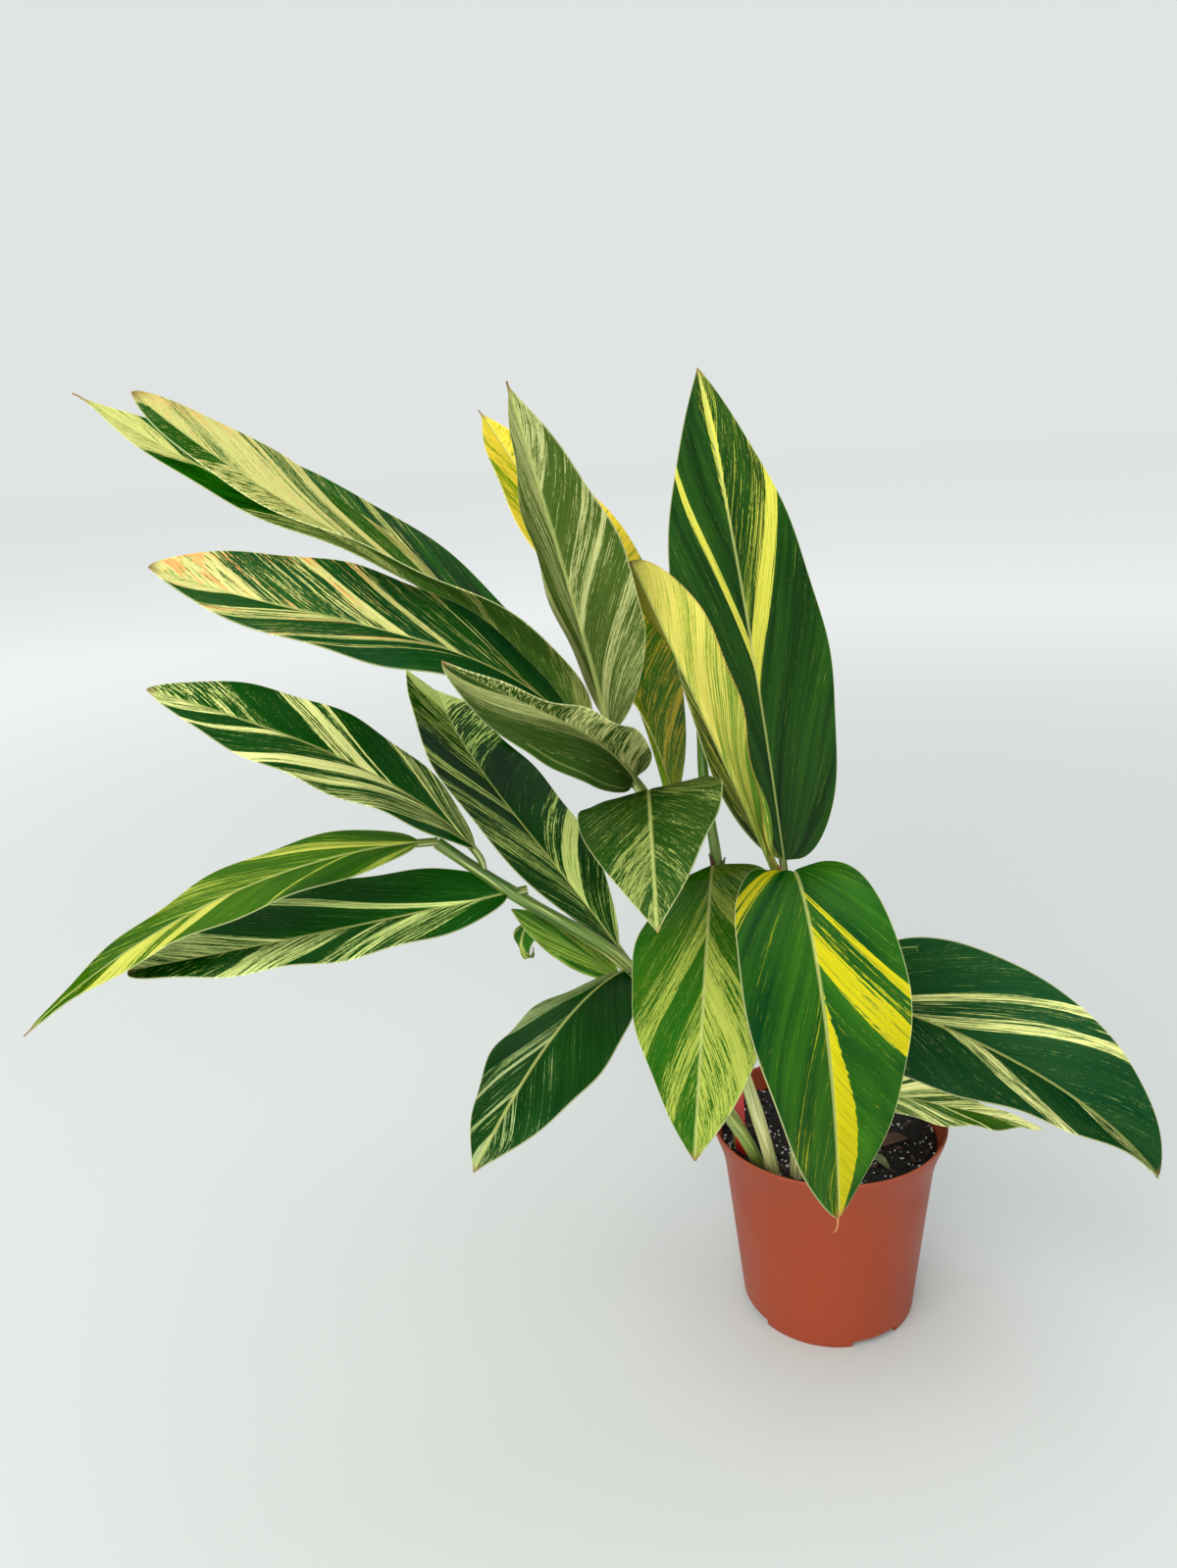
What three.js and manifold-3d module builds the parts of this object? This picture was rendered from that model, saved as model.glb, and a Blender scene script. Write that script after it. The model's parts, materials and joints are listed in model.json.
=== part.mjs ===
// Potted variegated shell ginger: five leafy canes in a grower's pot of soil.
// Millimetres, +Z up. The origin is the centre of the pot's base, on the surface it stands on.
// +X is the side of the right-hand leaves and +Y is the back of the plant.
import * as THREE from 'three';
import { mergeVertices } from 'three/addons/utils/BufferGeometryUtils.js';
import Module from 'manifold-3d';

const wasm = await Module();
wasm.setup();

// Driving dimensions of the pot
const seat = 0.3; // gap between pieces that touch
const potSides = 40;
const potOutline = [[71.5, 0], [72.4, 7], [84.4, 120], [86.2, 136], [89, 148], [92.4, 158], [95.6, 167], [96.5, 172]];
const wallThickness = 2.2;
const footHeight = 7;
const footWidth = 4;
const floorThickness = 2.5;
const padRadius = 14; // boss in the middle of the base, level with the feet
const footGaps = [[-69, 34], [-166, 42], [111, 34], [21, 34]]; // middle and spread, degrees
const drainCount = 8;
const drainRadius = 5;
const drainCircle = 50;

// Driving dimensions of the soil and what is stuck in it or lies on it
const soilHeight = 154;
const soilRings = [14, 28, 42, 56, 70, 80];
const soilRelief = 1.6;
const label = { width: 10, thickness: 0.8, height: 62, depth: 35, place: [-75, -21], turn: -38, lean: 4 };
const scraps = [
  { name: 'dry_leaf_scrap', length: 24, width: 13, place: [52, -18], turn: 20, lift: 4, colour: 0x4a3022 },
  { name: 'old_sheath_scrap', length: 22, width: 8, place: [31, -45], turn: -55, lift: 5, colour: 0x5d6440 },
];

// Driving dimensions of the canes
const caneSides = 10;
const caneDepth = 42; // buried length
const footLean = 0.1; // share of a cane's lean that its buried foot keeps
const ringSpacing = 22;
const nodeSwell = 1.12; // a cane is this much thicker at the top of each sheath
const nodeSpacing = 66;

// Canes: centre line points above the soil, and the thickness at the soil, half way and at the top
const canes = [
  { name: 'cane_left', thickness: [9.5, 12, 8], points: [[-64, -40, 154], [-110, -50, 250], [-162, -55, 345],
    [-238, -60, 407], [-294, -60, 453]],
    sheath: { root: [-157, -61, 331], length: 112, width: 28, heading: 184, climb: 39, droop: 0, straighten: 0,
      sway: 0, roll: 60, twist: 0, fold: [-8, -30], full: [0.6, 0.8] } },
  { name: 'cane_middle', thickness: [10, 10, 8], points: [[-54, -50, 154], [-94, -39, 308], [-139, -20, 462],
    [-161, -7, 492]] },
  { name: 'cane_back', thickness: [11, 9, 7], points: [[-75, -6, 154], [-80, -4, 290], [-87, 0, 406],
    [-94, 10, 470], [-94, 20, 508]] },
  { name: 'cane_front', thickness: [13, 11, 9], points: [[-35, -54, 154], [-36, -57, 280], [-42, -60, 402]] },
  { name: 'cane_right', thickness: [12, 10, 8], points: [[14, -15, 154], [15, -18, 220], [13, -25, 298]] },
];

// Driving dimensions of the leaves
const bladeThickness = 0.8;
const stalkLength = 15;
const stalkWidth = 5.5;
const stalkThickness = 3.6;
const tipWidth = 1.4;
const ribReach = 2.6; // half width of the thick rib
const bladeRows = 13;
const bladeColumns = [-1, -0.56, -0.1, 0, 0.1, 0.56, 1]; // -1 is the left margin and 1 the right one
const waveHeight = 1.8;
const waveCount = 3.5;
const hookStart = 0.74;

// Leaves. The midrib starts at root with heading (0 = +X, 90 = +Y) and climb, in degrees; along its length it
// droops, straightens again, sways sideways and may hook over near the tip. roll and twist turn the blade about
// the midrib, and fold lifts its left and right halves. full is how pointed the outline is at the root and at
// the tip. A leaf with a joint has a longer stalk, which bows from that point on the cane to the blade's foot.
const leaves = [
  { name: 'leaf_left_1', cane: 'cane_left', root: [-158, -53, 343], length: 219, width: 90, heading: 238,
    climb: 16, droop: 79, straighten: 30, sway: -1, roll: 0, twist: 15, fold: [0, -23], full: [0.82, 0.97] },
  { name: 'leaf_left_2', cane: 'cane_left', root: [-160, -56, 347], length: 409, width: 112, heading: 142,
    climb: 49, droop: 72, straighten: 56, sway: -42, roll: 4, twist: -50, hook: 150, fold: [6, 8],
    full: [0.86, 1.06] },
  { name: 'leaf_left_3', cane: 'cane_left', joint: [-200, -50, 376], root: [-204, -41, 374], length: 89,
    width: 34, heading: 178, climb: 58, droop: 189, straighten: -89, sway: 87, roll: 3, twist: 0,
    fold: [-18, -22], full: [0.53, 2.1], stalk: 8 },
  { name: 'leaf_left_4', cane: 'cane_left', root: [-232, -60, 414], length: 284, width: 95, heading: 189,
    climb: -7, droop: -5, straighten: -2, sway: 1, roll: 20, twist: -18, fold: [8, 15], full: [0.48, 0.44] },
  { name: 'leaf_left_5', cane: 'cane_left', joint: [-262, -60, 427], root: [-259, -58, 435], length: 265,
    width: 98, heading: 178, climb: 55, droop: 66, straighten: 37, sway: 19, roll: 5, twist: 32, fold: [6, 3], full: [0.64, 0.83] },
  { name: 'leaf_left_6', cane: 'cane_left', root: [-293, -60, 455], length: 309, width: 66, heading: 196,
    climb: 5, droop: 49, straighten: 6, sway: 0, roll: 20, twist: -20, fold: [0, 3], full: [0.55, 0.79] },
  { name: 'leaf_middle_1', cane: 'cane_middle', root: [-139, -24, 463], length: 212, width: 101, heading: 267,
    climb: 39, droop: 100, straighten: 14, sway: 1, roll: -7, twist: -13, fold: [-1, -3], full: [0.66, 1.06] },
  { name: 'leaf_middle_2', cane: 'cane_middle', joint: [-143, -20, 468], root: [-146, -19, 475], length: 284,
    width: 65, heading: 247, climb: 43, droop: 50, straighten: 36, sway: -8, roll: -63, twist: 30,
    fold: [-43, -39], full: [0.45, 0.72] },
  { name: 'leaf_middle_3', cane: 'cane_middle', joint: [-148, -15, 475], root: [-173, -46, 500], length: 338,
    width: 104, heading: 204, climb: 65, droop: 131, straighten: 94, sway: -1, roll: 23, twist: 11,
    fold: [10, 12], full: [0.79, 0.73], stalk: 34 },
  { name: 'leaf_middle_4', cane: 'cane_middle', joint: [-152, -13, 481], root: [-158, -18, 490], length: 290,
    width: 101, heading: 236, climb: 72, droop: 12, straighten: 6, sway: 2, roll: 15, twist: -3,
    fold: [15, 19], full: [0.86, 1.06], stalk: 30 },
  { name: 'leaf_middle_5', cane: 'cane_middle', joint: [-156, -10, 486], root: [-169, -5, 494], length: 410,
    width: 128, heading: 189, climb: 64, droop: 92, straighten: 75, sway: 2, roll: -29, twist: 64,
    fold: [13, 8], full: [0.58, 0.73], stalk: 30 },
  { name: 'leaf_middle_6', cane: 'cane_middle', joint: [-159, -3, 490], root: [-161, 75, 481], length: 519,
    width: 124, heading: 168, climb: 55, droop: 79, straighten: 60, sway: 4, roll: -19, twist: 57,
    fold: [17, 15], full: [0.9, 1.23], stalk: 38 },
  { name: 'leaf_middle_7', cane: 'cane_middle', joint: [-127, -25, 420], root: [-116, 10, 429], length: 387,
    width: 156, heading: 150, climb: 81, droop: 55, straighten: 13, sway: -28, roll: -19, twist: 20,
    fold: [19, 10], full: [0.7, 1.09] },
  { name: 'leaf_back_1', cane: 'cane_back', joint: [-87, -1, 401], root: [-91, -8, 404], length: 274,
    width: 119, heading: 263, climb: 22, droop: 130, straighten: 55, sway: -7, roll: -14, twist: -18, fold: [-2, -3], full: [0.88, 0.94] },
  { name: 'leaf_back_2', cane: 'cane_back', root: [-94, 22, 507], length: 210, width: 56, heading: 80,
    climb: 50, droop: -4, straighten: 0, sway: 0, roll: -12, twist: 0, fold: [16, 16], full: [0.7, 0.9] },
  { name: 'leaf_front_1', cane: 'cane_front', root: [-41, -63, 403], length: 310, width: 110, heading: 263,
    climb: 56, droop: 267, straighten: 124, sway: 16, roll: -15, twist: 50, fold: [11, 9], full: [0.9, 0.78] },
  { name: 'leaf_front_2', cane: 'cane_front', joint: [-41, -59, 396], root: [-41, -50, 405], length: 430,
    width: 155, heading: 93, climb: 57, droop: -11, straighten: -9, sway: 11, roll: -39, twist: 53, fold: [9, -4], full: [0.42, 0.97] },
  { name: 'leaf_front_3', cane: 'cane_front', joint: [-46, -59, 397], root: [-50, -69, 417], length: 248,
    width: 81, heading: 181, climb: 68, droop: 1, straighten: -1, sway: -5, roll: -11, twist: -76,
    fold: [-15, 60], full: [0.7, 0.57] },
  { name: 'leaf_right_1', cane: 'cane_right', root: [11, -18, 207], length: 177, width: 67, heading: -1,
    climb: -11, droop: 19, straighten: 7, sway: 10, roll: -12, twist: 29, fold: [5, 1], full: [0.61, 0.8] },
  { name: 'leaf_right_2', cane: 'cane_right', root: [13, -26, 296], length: 258, width: 133, heading: 314,
    climb: 1, droop: 33, straighten: -23, sway: 31, roll: -48, twist: 37, fold: [41, 28], full: [0.27, 0.67] },
];

// Finishes
const finishes = {
  pot: { color: 0xa8492e, roughness: 0.5 },
  soil: { color: 0x17130f, roughness: 1 },
  cane: { color: 0x9fae5e, roughness: 0.55 },
  leaf: { color: 0x2f5a24, roughness: 0.45 },
  label: { color: 0xb5252a, roughness: 0.4 },
};

const plant = new THREE.Group();

const { degToRad, clamp, smoothstep } = THREE.MathUtils;

// Adds one named piece to the plant
function addPiece(name, geometry, finish) {
  geometry.computeVertexNormals();
  const piece = new THREE.Mesh(geometry, new THREE.MeshStandardMaterial({ metalness: 0, ...finish }));
  piece.name = name;
  plant.add(piece);
}

// Solid from a closed mesh, ready to be cut
function solidOf(geometry) {
  const bare = geometry.index ? geometry.toNonIndexed() : geometry.clone();
  bare.deleteAttribute('normal');
  bare.deleteAttribute('uv');
  const merged = mergeVertices(bare, 1e-4);
  return new wasm.Manifold(new wasm.Mesh({
    numProp: 3,
    vertProperties: new Float32Array(merged.attributes.position.array),
    triVerts: new Uint32Array(merged.index.array),
  }));
}

// Mesh from a solid
function geometryOf(solid) {
  const mesh = solid.getMesh();
  return indexedGeometry(mesh.vertProperties, mesh.triVerts);
}

function indexedGeometry(positions, triangles) {
  const geometry = new THREE.BufferGeometry();
  geometry.setAttribute('position', new THREE.BufferAttribute(new Float32Array(positions), 3));
  geometry.setIndex(new THREE.BufferAttribute(new Uint32Array(triangles), 1));
  return geometry;
}

// Closed body through rings of points, each ring with as many points, with flat fans as its ends
function loftGeometry(rings) {
  const count = rings[0].length;
  const positions = rings.flat().flatMap((point) => point.toArray());
  const triangles = [];
  for (let row = 0; row + 1 < rings.length; row += 1) {
    for (let k = 0; k < count; k += 1) {
      const a = row * count + k;
      const b = row * count + (k + 1) % count;
      triangles.push(a, b, b + count, a, b + count, a + count);
    }
  }
  const last = (rings.length - 1) * count;
  for (let k = 1; k + 1 < count; k += 1) {
    triangles.push(0, k + 1, k, last, last + k, last + k + 1);
  }
  return indexedGeometry(positions, triangles);
}

// Radius of the pot's outside at a height
function potRadius(height) {
  const above = potOutline.findIndex(([, z]) => z >= height);
  const k = clamp(above, 1, potOutline.length - 1);
  const [lowRadius, low] = potOutline[k - 1];
  const [highRadius, high] = potOutline[k];
  return lowRadius + (highRadius - lowRadius) * (height - low) / (high - low);
}

// Turned shape about +Z from [radius, height] points
function turned(profile) {
  const points = profile.map(([radius, height]) => new THREE.Vector2(radius, height));
  return new THREE.LatheGeometry(points, potSides).rotateX(Math.PI / 2);
}

// Pot: flared wall with a rounded lip, a raised floor with drain holes, and a foot ring with gaps
function makePot() {
  const floorTop = footHeight + floorThickness;
  const [rimRadius, rimHeight] = potOutline[potOutline.length - 1];
  const inner = potOutline.filter(([, z]) => z > floorTop).reverse()
    .map(([radius, height]) => [radius - wallThickness, height]);
  inner[0] = [rimRadius - wallThickness, rimHeight - 0.8];
  const profile = [
    [0, 0],
    [padRadius, 0],
    [padRadius + 1, footHeight],
    [potOutline[0][0] - footWidth, footHeight],
    [potOutline[0][0] - footWidth, 0],
    ...potOutline.slice(0, -1),
    [rimRadius, rimHeight - 0.8],
    [rimRadius - 0.7, rimHeight],
    [rimRadius - wallThickness + 0.6, rimHeight],
    ...inner,
    [potRadius(floorTop + 2) - wallThickness, floorTop + 2],
    [potRadius(floorTop) - wallThickness - 2, floorTop],
    [0, floorTop],
  ];
  let solid = solidOf(turned(profile));
  for (const [middle, spread] of footGaps) {
    const gapWidth = 2 * potOutline[0][0] * Math.sin(degToRad(spread / 2));
    const gap = new THREE.BoxGeometry(3 * footWidth + 2, gapWidth, 2 * footHeight - 2);
    gap.translate(potOutline[0][0] - footWidth / 2, 0, 0).rotateZ(degToRad(middle));
    solid = solid.subtract(solidOf(gap));
  }
  for (let k = 0; k < drainCount; k += 1) {
    const drain = new THREE.CylinderGeometry(drainRadius, drainRadius, 4 * floorThickness, 8);
    drain.rotateX(Math.PI / 2).translate(drainCircle, 0, footHeight);
    drain.rotateZ((k + 0.5) * 2 * Math.PI / drainCount);
    solid = solid.subtract(solidOf(drain));
  }
  return geometryOf(solid);
}

// Height of the soil's uneven top
function soilTop(x, y) {
  const bumps = Math.sin(x / 11 + 1) * Math.cos(y / 13) + 0.6 * Math.sin(x / 5.3 + y / 6.1);
  return soilHeight + soilRelief * bumps;
}

// Soil: fills the pot to soilHeight, with a plain hole for each stem
function makeSoil(holes) {
  const bottom = footHeight + floorThickness + seat;
  const inside = (height) => potRadius(height) - wallThickness - seat;
  const geometry = turned([
    [0, bottom],
    [inside(bottom) - 3, bottom],
    [inside(bottom + 4), bottom + 4],
    [inside(120), 120],
    [inside(136), 136],
    [inside(soilHeight - 4), soilHeight - 4],
    ...soilRings.slice().reverse().map((radius) => [radius, soilHeight]),
    [0, soilHeight],
  ]);
  const position = geometry.attributes.position;
  for (let k = 0; k < position.count; k += 1) {
    if (position.getZ(k) === soilHeight) {
      position.setZ(k, soilTop(position.getX(k), position.getY(k)));
    }
  }
  return geometryOf(holes.reduce((solid, hole) => solid.subtract(hole), solidOf(geometry)));
}

// Centre line of a cane, with its buried foot
function caneCurve(cane) {
  const points = cane.points.map((point) => new THREE.Vector3(...point));
  const lean = points[1].clone().sub(points[0]).setZ(0).multiplyScalar(-footLean * caneDepth);
  const rise = points[1].z - points[0].z;
  const foot = points[0].clone().addScaledVector(lean, 1 / rise).setZ(points[0].z - caneDepth);
  return new THREE.CatmullRomCurve3([foot, ...points], false, 'centripetal');
}

// Cane: a round stem that swells where each leaf sheath ends. growth widens it evenly.
function caneGeometry(cane, growth) {
  const curve = caneCurve(cane);
  const length = curve.getLength();
  const steps = Math.round(length / ringSpacing);
  const frames = curve.computeFrenetFrames(steps, false);
  const [low, middle, high] = cane.thickness;
  const rings = [];
  for (let row = 0; row <= steps; row += 1) {
    const t = row / steps;
    const centre = curve.getPointAt(t);
    const along = t * length;
    const plain = t < 0.5 ? THREE.MathUtils.lerp(low, middle, 2 * t) : THREE.MathUtils.lerp(middle, high, 2 * t - 1);
    const atNode = Math.max(0, 1 - Math.abs(along % nodeSpacing - nodeSpacing / 2) / ringSpacing);
    const radius = plain / 2 * (1 + (nodeSwell - 1) * atNode) + growth;
    const ring = [];
    for (let k = 0; k < caneSides; k += 1) {
      const angle = 2 * Math.PI * k / caneSides;
      ring.push(centre.clone()
        .addScaledVector(frames.normals[row], radius * Math.cos(angle))
        .addScaledVector(frames.binormals[row], radius * Math.sin(angle)));
    }
    rings.push(ring);
  }
  const ends = [curve.getTangentAt(0).negate(), curve.getTangentAt(1)];
  rings[0].forEach((point) => point.addScaledVector(ends[0], growth));
  rings[steps].forEach((point) => point.addScaledVector(ends[1], growth));
  return loftGeometry(rings);
}

// Directions along the midrib, towards the right-hand margin and up from the blade at the share t of the length
function leafFrame(leaf, t) {
  const hooked = smoothstep(t, hookStart, 1) * (leaf.hook ?? 0);
  const climb = degToRad(leaf.climb - leaf.droop * t + leaf.straighten * t * t - hooked);
  const heading = degToRad(leaf.heading + leaf.sway * t);
  const roll = degToRad(leaf.roll + leaf.twist * t);
  const level = new THREE.Vector3(Math.cos(heading), Math.sin(heading), 0);
  const along = level.clone().multiplyScalar(Math.cos(climb)).setZ(Math.sin(climb));
  const over = level.clone().multiplyScalar(-Math.sin(climb)).setZ(Math.cos(climb));
  const aside = new THREE.Vector3(Math.sin(heading), -Math.cos(heading), 0);
  const side = aside.clone().multiplyScalar(Math.cos(roll)).addScaledVector(over, Math.sin(roll));
  const up = aside.multiplyScalar(-Math.sin(roll)).addScaledVector(over, Math.cos(roll));
  return { along, side, up };
}

// Midrib as a function of the share of its length, added up from short steps
function midribOf(leaf) {
  const steps = 80;
  const points = [new THREE.Vector3(...leaf.root)];
  for (let k = 0; k < steps; k += 1) {
    const { along } = leafFrame(leaf, (k + 0.5) / steps);
    points.push(points[k].clone().addScaledVector(along, leaf.length / steps));
  }
  return (t) => {
    const k = Math.min(Math.floor(t * steps), steps - 1);
    return points[k].clone().lerp(points[k + 1], t * steps - k);
  };
}

// Half the blade's width at the share u of the blade's length
function halfWidth(leaf, u) {
  const [rootFull, tipFull] = leaf.full;
  const widest = rootFull / (rootFull + tipFull);
  return leaf.width / 2 * (u / widest) ** rootFull * ((1 - u) / (1 - widest)) ** tipFull;
}

// Point on the blade at the share u of its length, s from -1 (left margin) to 1 (right margin)
function leafPoint(leaf, place, u, s) {
  const { centre, side, up } = place;
  const hand = s < 0 ? 0 : 1;
  const sign = s < 0 ? -1 : 1;
  const reach = Math.abs(s);
  const half = Math.max(halfWidth(leaf, u), THREE.MathUtils.lerp(stalkWidth, tipWidth, u) / 2);
  const fold = degToRad(leaf.fold[hand]);
  const outward = side.clone().multiplyScalar(sign * Math.cos(fold)).addScaledVector(up, Math.sin(fold));
  const lean = fold * Math.min(reach * half / (2 * ribReach), 1); // the rib itself stands straight below the fold
  const normal = up.clone().multiplyScalar(Math.cos(lean)).addScaledVector(side, -sign * Math.sin(lean));
  const phase = 2 * Math.PI * (waveCount * u + 0.37 * hand) + leaf.length;
  const wave = waveHeight * reach ** 2 * Math.sin(phase) * Math.sqrt(Math.sin(Math.PI * u));
  const point = centre.clone().addScaledVector(outward, half * reach).addScaledVector(normal, wave);
  const rib = Math.exp(-((reach * half / ribReach) ** 2));
  const thickness = bladeThickness + (stalkThickness * (1 - 0.7 * u) - bladeThickness) * rib;
  return { point, normal, thickness };
}

// Places along the stalk, up to the foot of the blade at the share end of the length
function stalkPlaces(leaf, midrib, end) {
  if (!leaf.joint) {
    return [{ centre: midrib(0), ...leafFrame(leaf, 0) }];
  }
  const bow = new THREE.QuadraticBezierCurve3(
    new THREE.Vector3(...leaf.joint), new THREE.Vector3(...leaf.root), midrib(end));
  return [0, 0.25, 0.5, 0.75].map((t) => {
    const along = bow.getTangent(t);
    const side = leafFrame(leaf, end).side.projectOnPlane(along).normalize();
    return { centre: bow.getPoint(t), side, up: side.clone().cross(along) };
  });
}

// Leaf: a stalk that widens into a blade of even thickness with a rib along its underside
function leafGeometry(leaf) {
  const midrib = midribOf(leaf);
  const end = (leaf.stalk ?? stalkLength) / leaf.length;
  const stations = stalkPlaces(leaf, midrib, end).map((place) => ({ place, u: 0 }));
  for (let row = 0; row <= bladeRows; row += 1) {
    const even = row / bladeRows;
    const crowded = (1 - Math.cos(Math.PI * even)) / 2;
    const u = Math.min(0.55 * even + 0.45 * crowded, 1);
    const t = end + (1 - end) * u;
    stations.push({ place: { centre: midrib(t), ...leafFrame(leaf, t) }, u });
  }
  const top = [];
  const under = [];
  for (const { place, u } of stations) {
    for (const s of bladeColumns) {
      const { point, normal, thickness } = leafPoint(leaf, place, u, s);
      top.push(point.clone().addScaledVector(normal, bladeThickness / 2));
      under.push(point.addScaledVector(normal, bladeThickness / 2 - thickness));
    }
  }
  const wide = bladeColumns.length;
  const below = top.length;
  const triangles = [];
  const quad = (a, b, c, d) => triangles.push(a, b, c, a, c, d);
  for (let row = 0; row + 1 < stations.length; row += 1) {
    const near = row * wide;
    const far = near + wide;
    for (let k = 0; k + 1 < wide; k += 1) {
      quad(near + k, near + k + 1, far + k + 1, far + k);
      triangles.push(below + near + k, below + far + k + 1, below + near + k + 1);
      triangles.push(below + near + k, below + far + k, below + far + k + 1);
    }
    quad(near, far, below + far, below + near);
    quad(far - 1, below + far - 1, below + far + wide - 1, far + wide - 1);
  }
  const tip = (stations.length - 1) * wide;
  for (let k = 0; k + 1 < wide; k += 1) {
    quad(k, below + k, below + k + 1, k + 1);
    quad(tip + k, tip + k + 1, below + tip + k + 1, below + tip + k);
  }
  return indexedGeometry([...top, ...under].flatMap((point) => point.toArray()), triangles);
}

// Plain plant label: a thin strip stuck in the soil. growth widens it for its slot.
function labelGeometry(growth) {
  const { width, thickness, height, depth, place, turn, lean } = label;
  const strip = new THREE.BoxGeometry(width + 2 * growth, thickness + 2 * growth, height + depth + 2 * growth);
  strip.translate(0, 0, (height - depth) / 2).rotateX(degToRad(lean)).rotateZ(degToRad(turn));
  return strip.translate(place[0], place[1], soilHeight);
}

// Scrap: a bit of old leaf that lies arched on the soil
function scrapGeometry({ length, width, place, turn, lift }, soil) {
  const steps = 6;
  const rings = [];
  for (let row = 0; row <= steps; row += 1) {
    const t = row / steps - 0.5;
    const half = width / 2 * Math.sqrt(1.05 - 4 * t * t);
    const height = lift * (1 - 4 * t * t);
    rings.push([[-half, 0], [half, 0], [half, bladeThickness], [-half, bladeThickness]]
      .map(([y, z]) => new THREE.Vector3(t * length, y, z + height)));
  }
  const scrap = loftGeometry(rings).rotateZ(degToRad(turn)).translate(place[0], place[1], 2 * soilHeight);
  const position = scrap.attributes.position;
  const drops = Array.from({ length: position.count }, (_, k) => {
    const point = new THREE.Vector3().fromBufferAttribute(position, k);
    return new THREE.Raycaster(point, new THREE.Vector3(0, 0, -1)).intersectObject(soil)[0].distance;
  });
  return scrap.translate(0, 0, seat - Math.min(...drops));
}

addPiece('pot', makePot(), finishes.pot);

const caneHoles = new Map(canes.map((cane) => [cane.name, solidOf(caneGeometry(cane, seat))]));
addPiece('soil', makeSoil([...caneHoles.values(), solidOf(labelGeometry(seat))]), finishes.soil);
for (const cane of canes) {
  const stem = solidOf(caneGeometry(cane, 0));
  const whole = cane.sheath ? stem.add(solidOf(leafGeometry(cane.sheath))) : stem;
  addPiece(cane.name, geometryOf(whole), finishes.cane);
}
for (const leaf of leaves) {
  const pieces = solidOf(leafGeometry(leaf)).subtract(caneHoles.get(leaf.cane)).decompose();
  const blade = pieces.reduce((largest, piece) => (piece.volume() > largest.volume() ? piece : largest));
  addPiece(leaf.name, geometryOf(blade), finishes.leaf);
}
addPiece('label', labelGeometry(0), finishes.label);
for (const scrap of scraps) {
  const soil = plant.getObjectByName('soil');
  addPiece(scrap.name, scrapGeometry(scrap, soil), { color: scrap.colour, roughness: 0.9 });
}

export default plant;
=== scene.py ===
# Potted variegated shell ginger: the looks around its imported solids. Metres, +Z up, +Y is the back.
import json
import math
import random
from functools import partial
from statistics import NormalDist
import bpy
import numpy as np
from mathutils import Matrix, Vector, noise


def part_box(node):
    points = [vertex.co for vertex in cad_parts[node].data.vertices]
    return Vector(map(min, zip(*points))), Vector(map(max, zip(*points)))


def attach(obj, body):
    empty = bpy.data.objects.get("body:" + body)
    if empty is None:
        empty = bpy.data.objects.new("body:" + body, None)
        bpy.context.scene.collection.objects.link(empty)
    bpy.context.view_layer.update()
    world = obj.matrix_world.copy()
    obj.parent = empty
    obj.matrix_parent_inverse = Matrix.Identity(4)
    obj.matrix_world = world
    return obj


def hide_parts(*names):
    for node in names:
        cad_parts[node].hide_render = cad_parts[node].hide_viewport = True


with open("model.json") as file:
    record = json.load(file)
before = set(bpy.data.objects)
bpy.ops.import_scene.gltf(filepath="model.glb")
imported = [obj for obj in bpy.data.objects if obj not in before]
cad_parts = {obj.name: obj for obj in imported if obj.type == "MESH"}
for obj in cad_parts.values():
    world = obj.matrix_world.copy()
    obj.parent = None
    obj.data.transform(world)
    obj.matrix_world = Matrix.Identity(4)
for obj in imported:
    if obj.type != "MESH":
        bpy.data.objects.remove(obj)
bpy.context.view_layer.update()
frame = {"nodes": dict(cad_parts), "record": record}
mm = 0.001
print("frame loaded:", len(frame["nodes"]), "nodes")


# Hex colours are sRGB; shaders and lamps take linear values
def linearColour(hexText):
    channels = [int(hexText[k:k + 2], 16) / 255 for k in (1, 3, 5)]
    return [c / 12.92 if c <= 0.04045 else ((c + 0.055) / 1.055) ** 2.4 for c in channels] + [1.0]


# An input takes a value, a hex colour, a socket, or a node, which then gives its main output
def addNode(tree, kind, inputs={}, **settings):
    made = tree.nodes.new("ShaderNode" + kind)
    if kind == "Mix":
        made.data_type = "RGBA"
    for name, value in settings.items():
        setattr(made, name, value)
    for key, value in inputs.items():
        if isinstance(value, bpy.types.Node):
            value = value.outputs[2 if value.bl_idname == "ShaderNodeMix" else 0]
        if isinstance(value, bpy.types.NodeSocket):
            tree.links.new(value, made.inputs[key])
        else:
            made.inputs[key].default_value = linearColour(value) if isinstance(value, str) else value
    return made


def newMaterial(name):
    material = bpy.data.materials.new(name)
    material.use_nodes = True
    material.node_tree.nodes.clear()
    return material, partial(addNode, material.node_tree)


def rampStops(rampNode, stops):
    ramp = rampNode.color_ramp
    ramp.elements[0].position, ramp.elements[0].color = stops[0]
    ramp.elements[1].position, ramp.elements[1].color = stops[-1]
    for position, colour in stops[1:-1]:
        ramp.elements.new(position).color = colour


# Rough natural stuff: two mottled colours and a fine grain
def grainMaterial(name, colours, roughness, scale, bump):
    material, add = newMaterial(name)
    place = add("TexCoord").outputs["Object"]
    mottle = add("TexNoise", {"Vector": place, "Scale": scale, "Detail": 4, "Roughness": 0.65})
    share = add("MapRange", {0: mottle, 1: 0.35, 2: 0.7})
    colour = add("Mix", {0: share, 6: colours[0], 7: colours[1]})
    grain = add("TexNoise", {"Vector": place, "Scale": 1500, "Detail": 3})
    relief = add("Bump", {"Strength": 0.8, "Distance": bump, "Height": grain})
    shader = add("BsdfPrincipled", {"Base Color": colour, "Roughness": roughness, "Normal": relief})
    add("OutputMaterial", {"Surface": shader})
    return material


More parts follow.
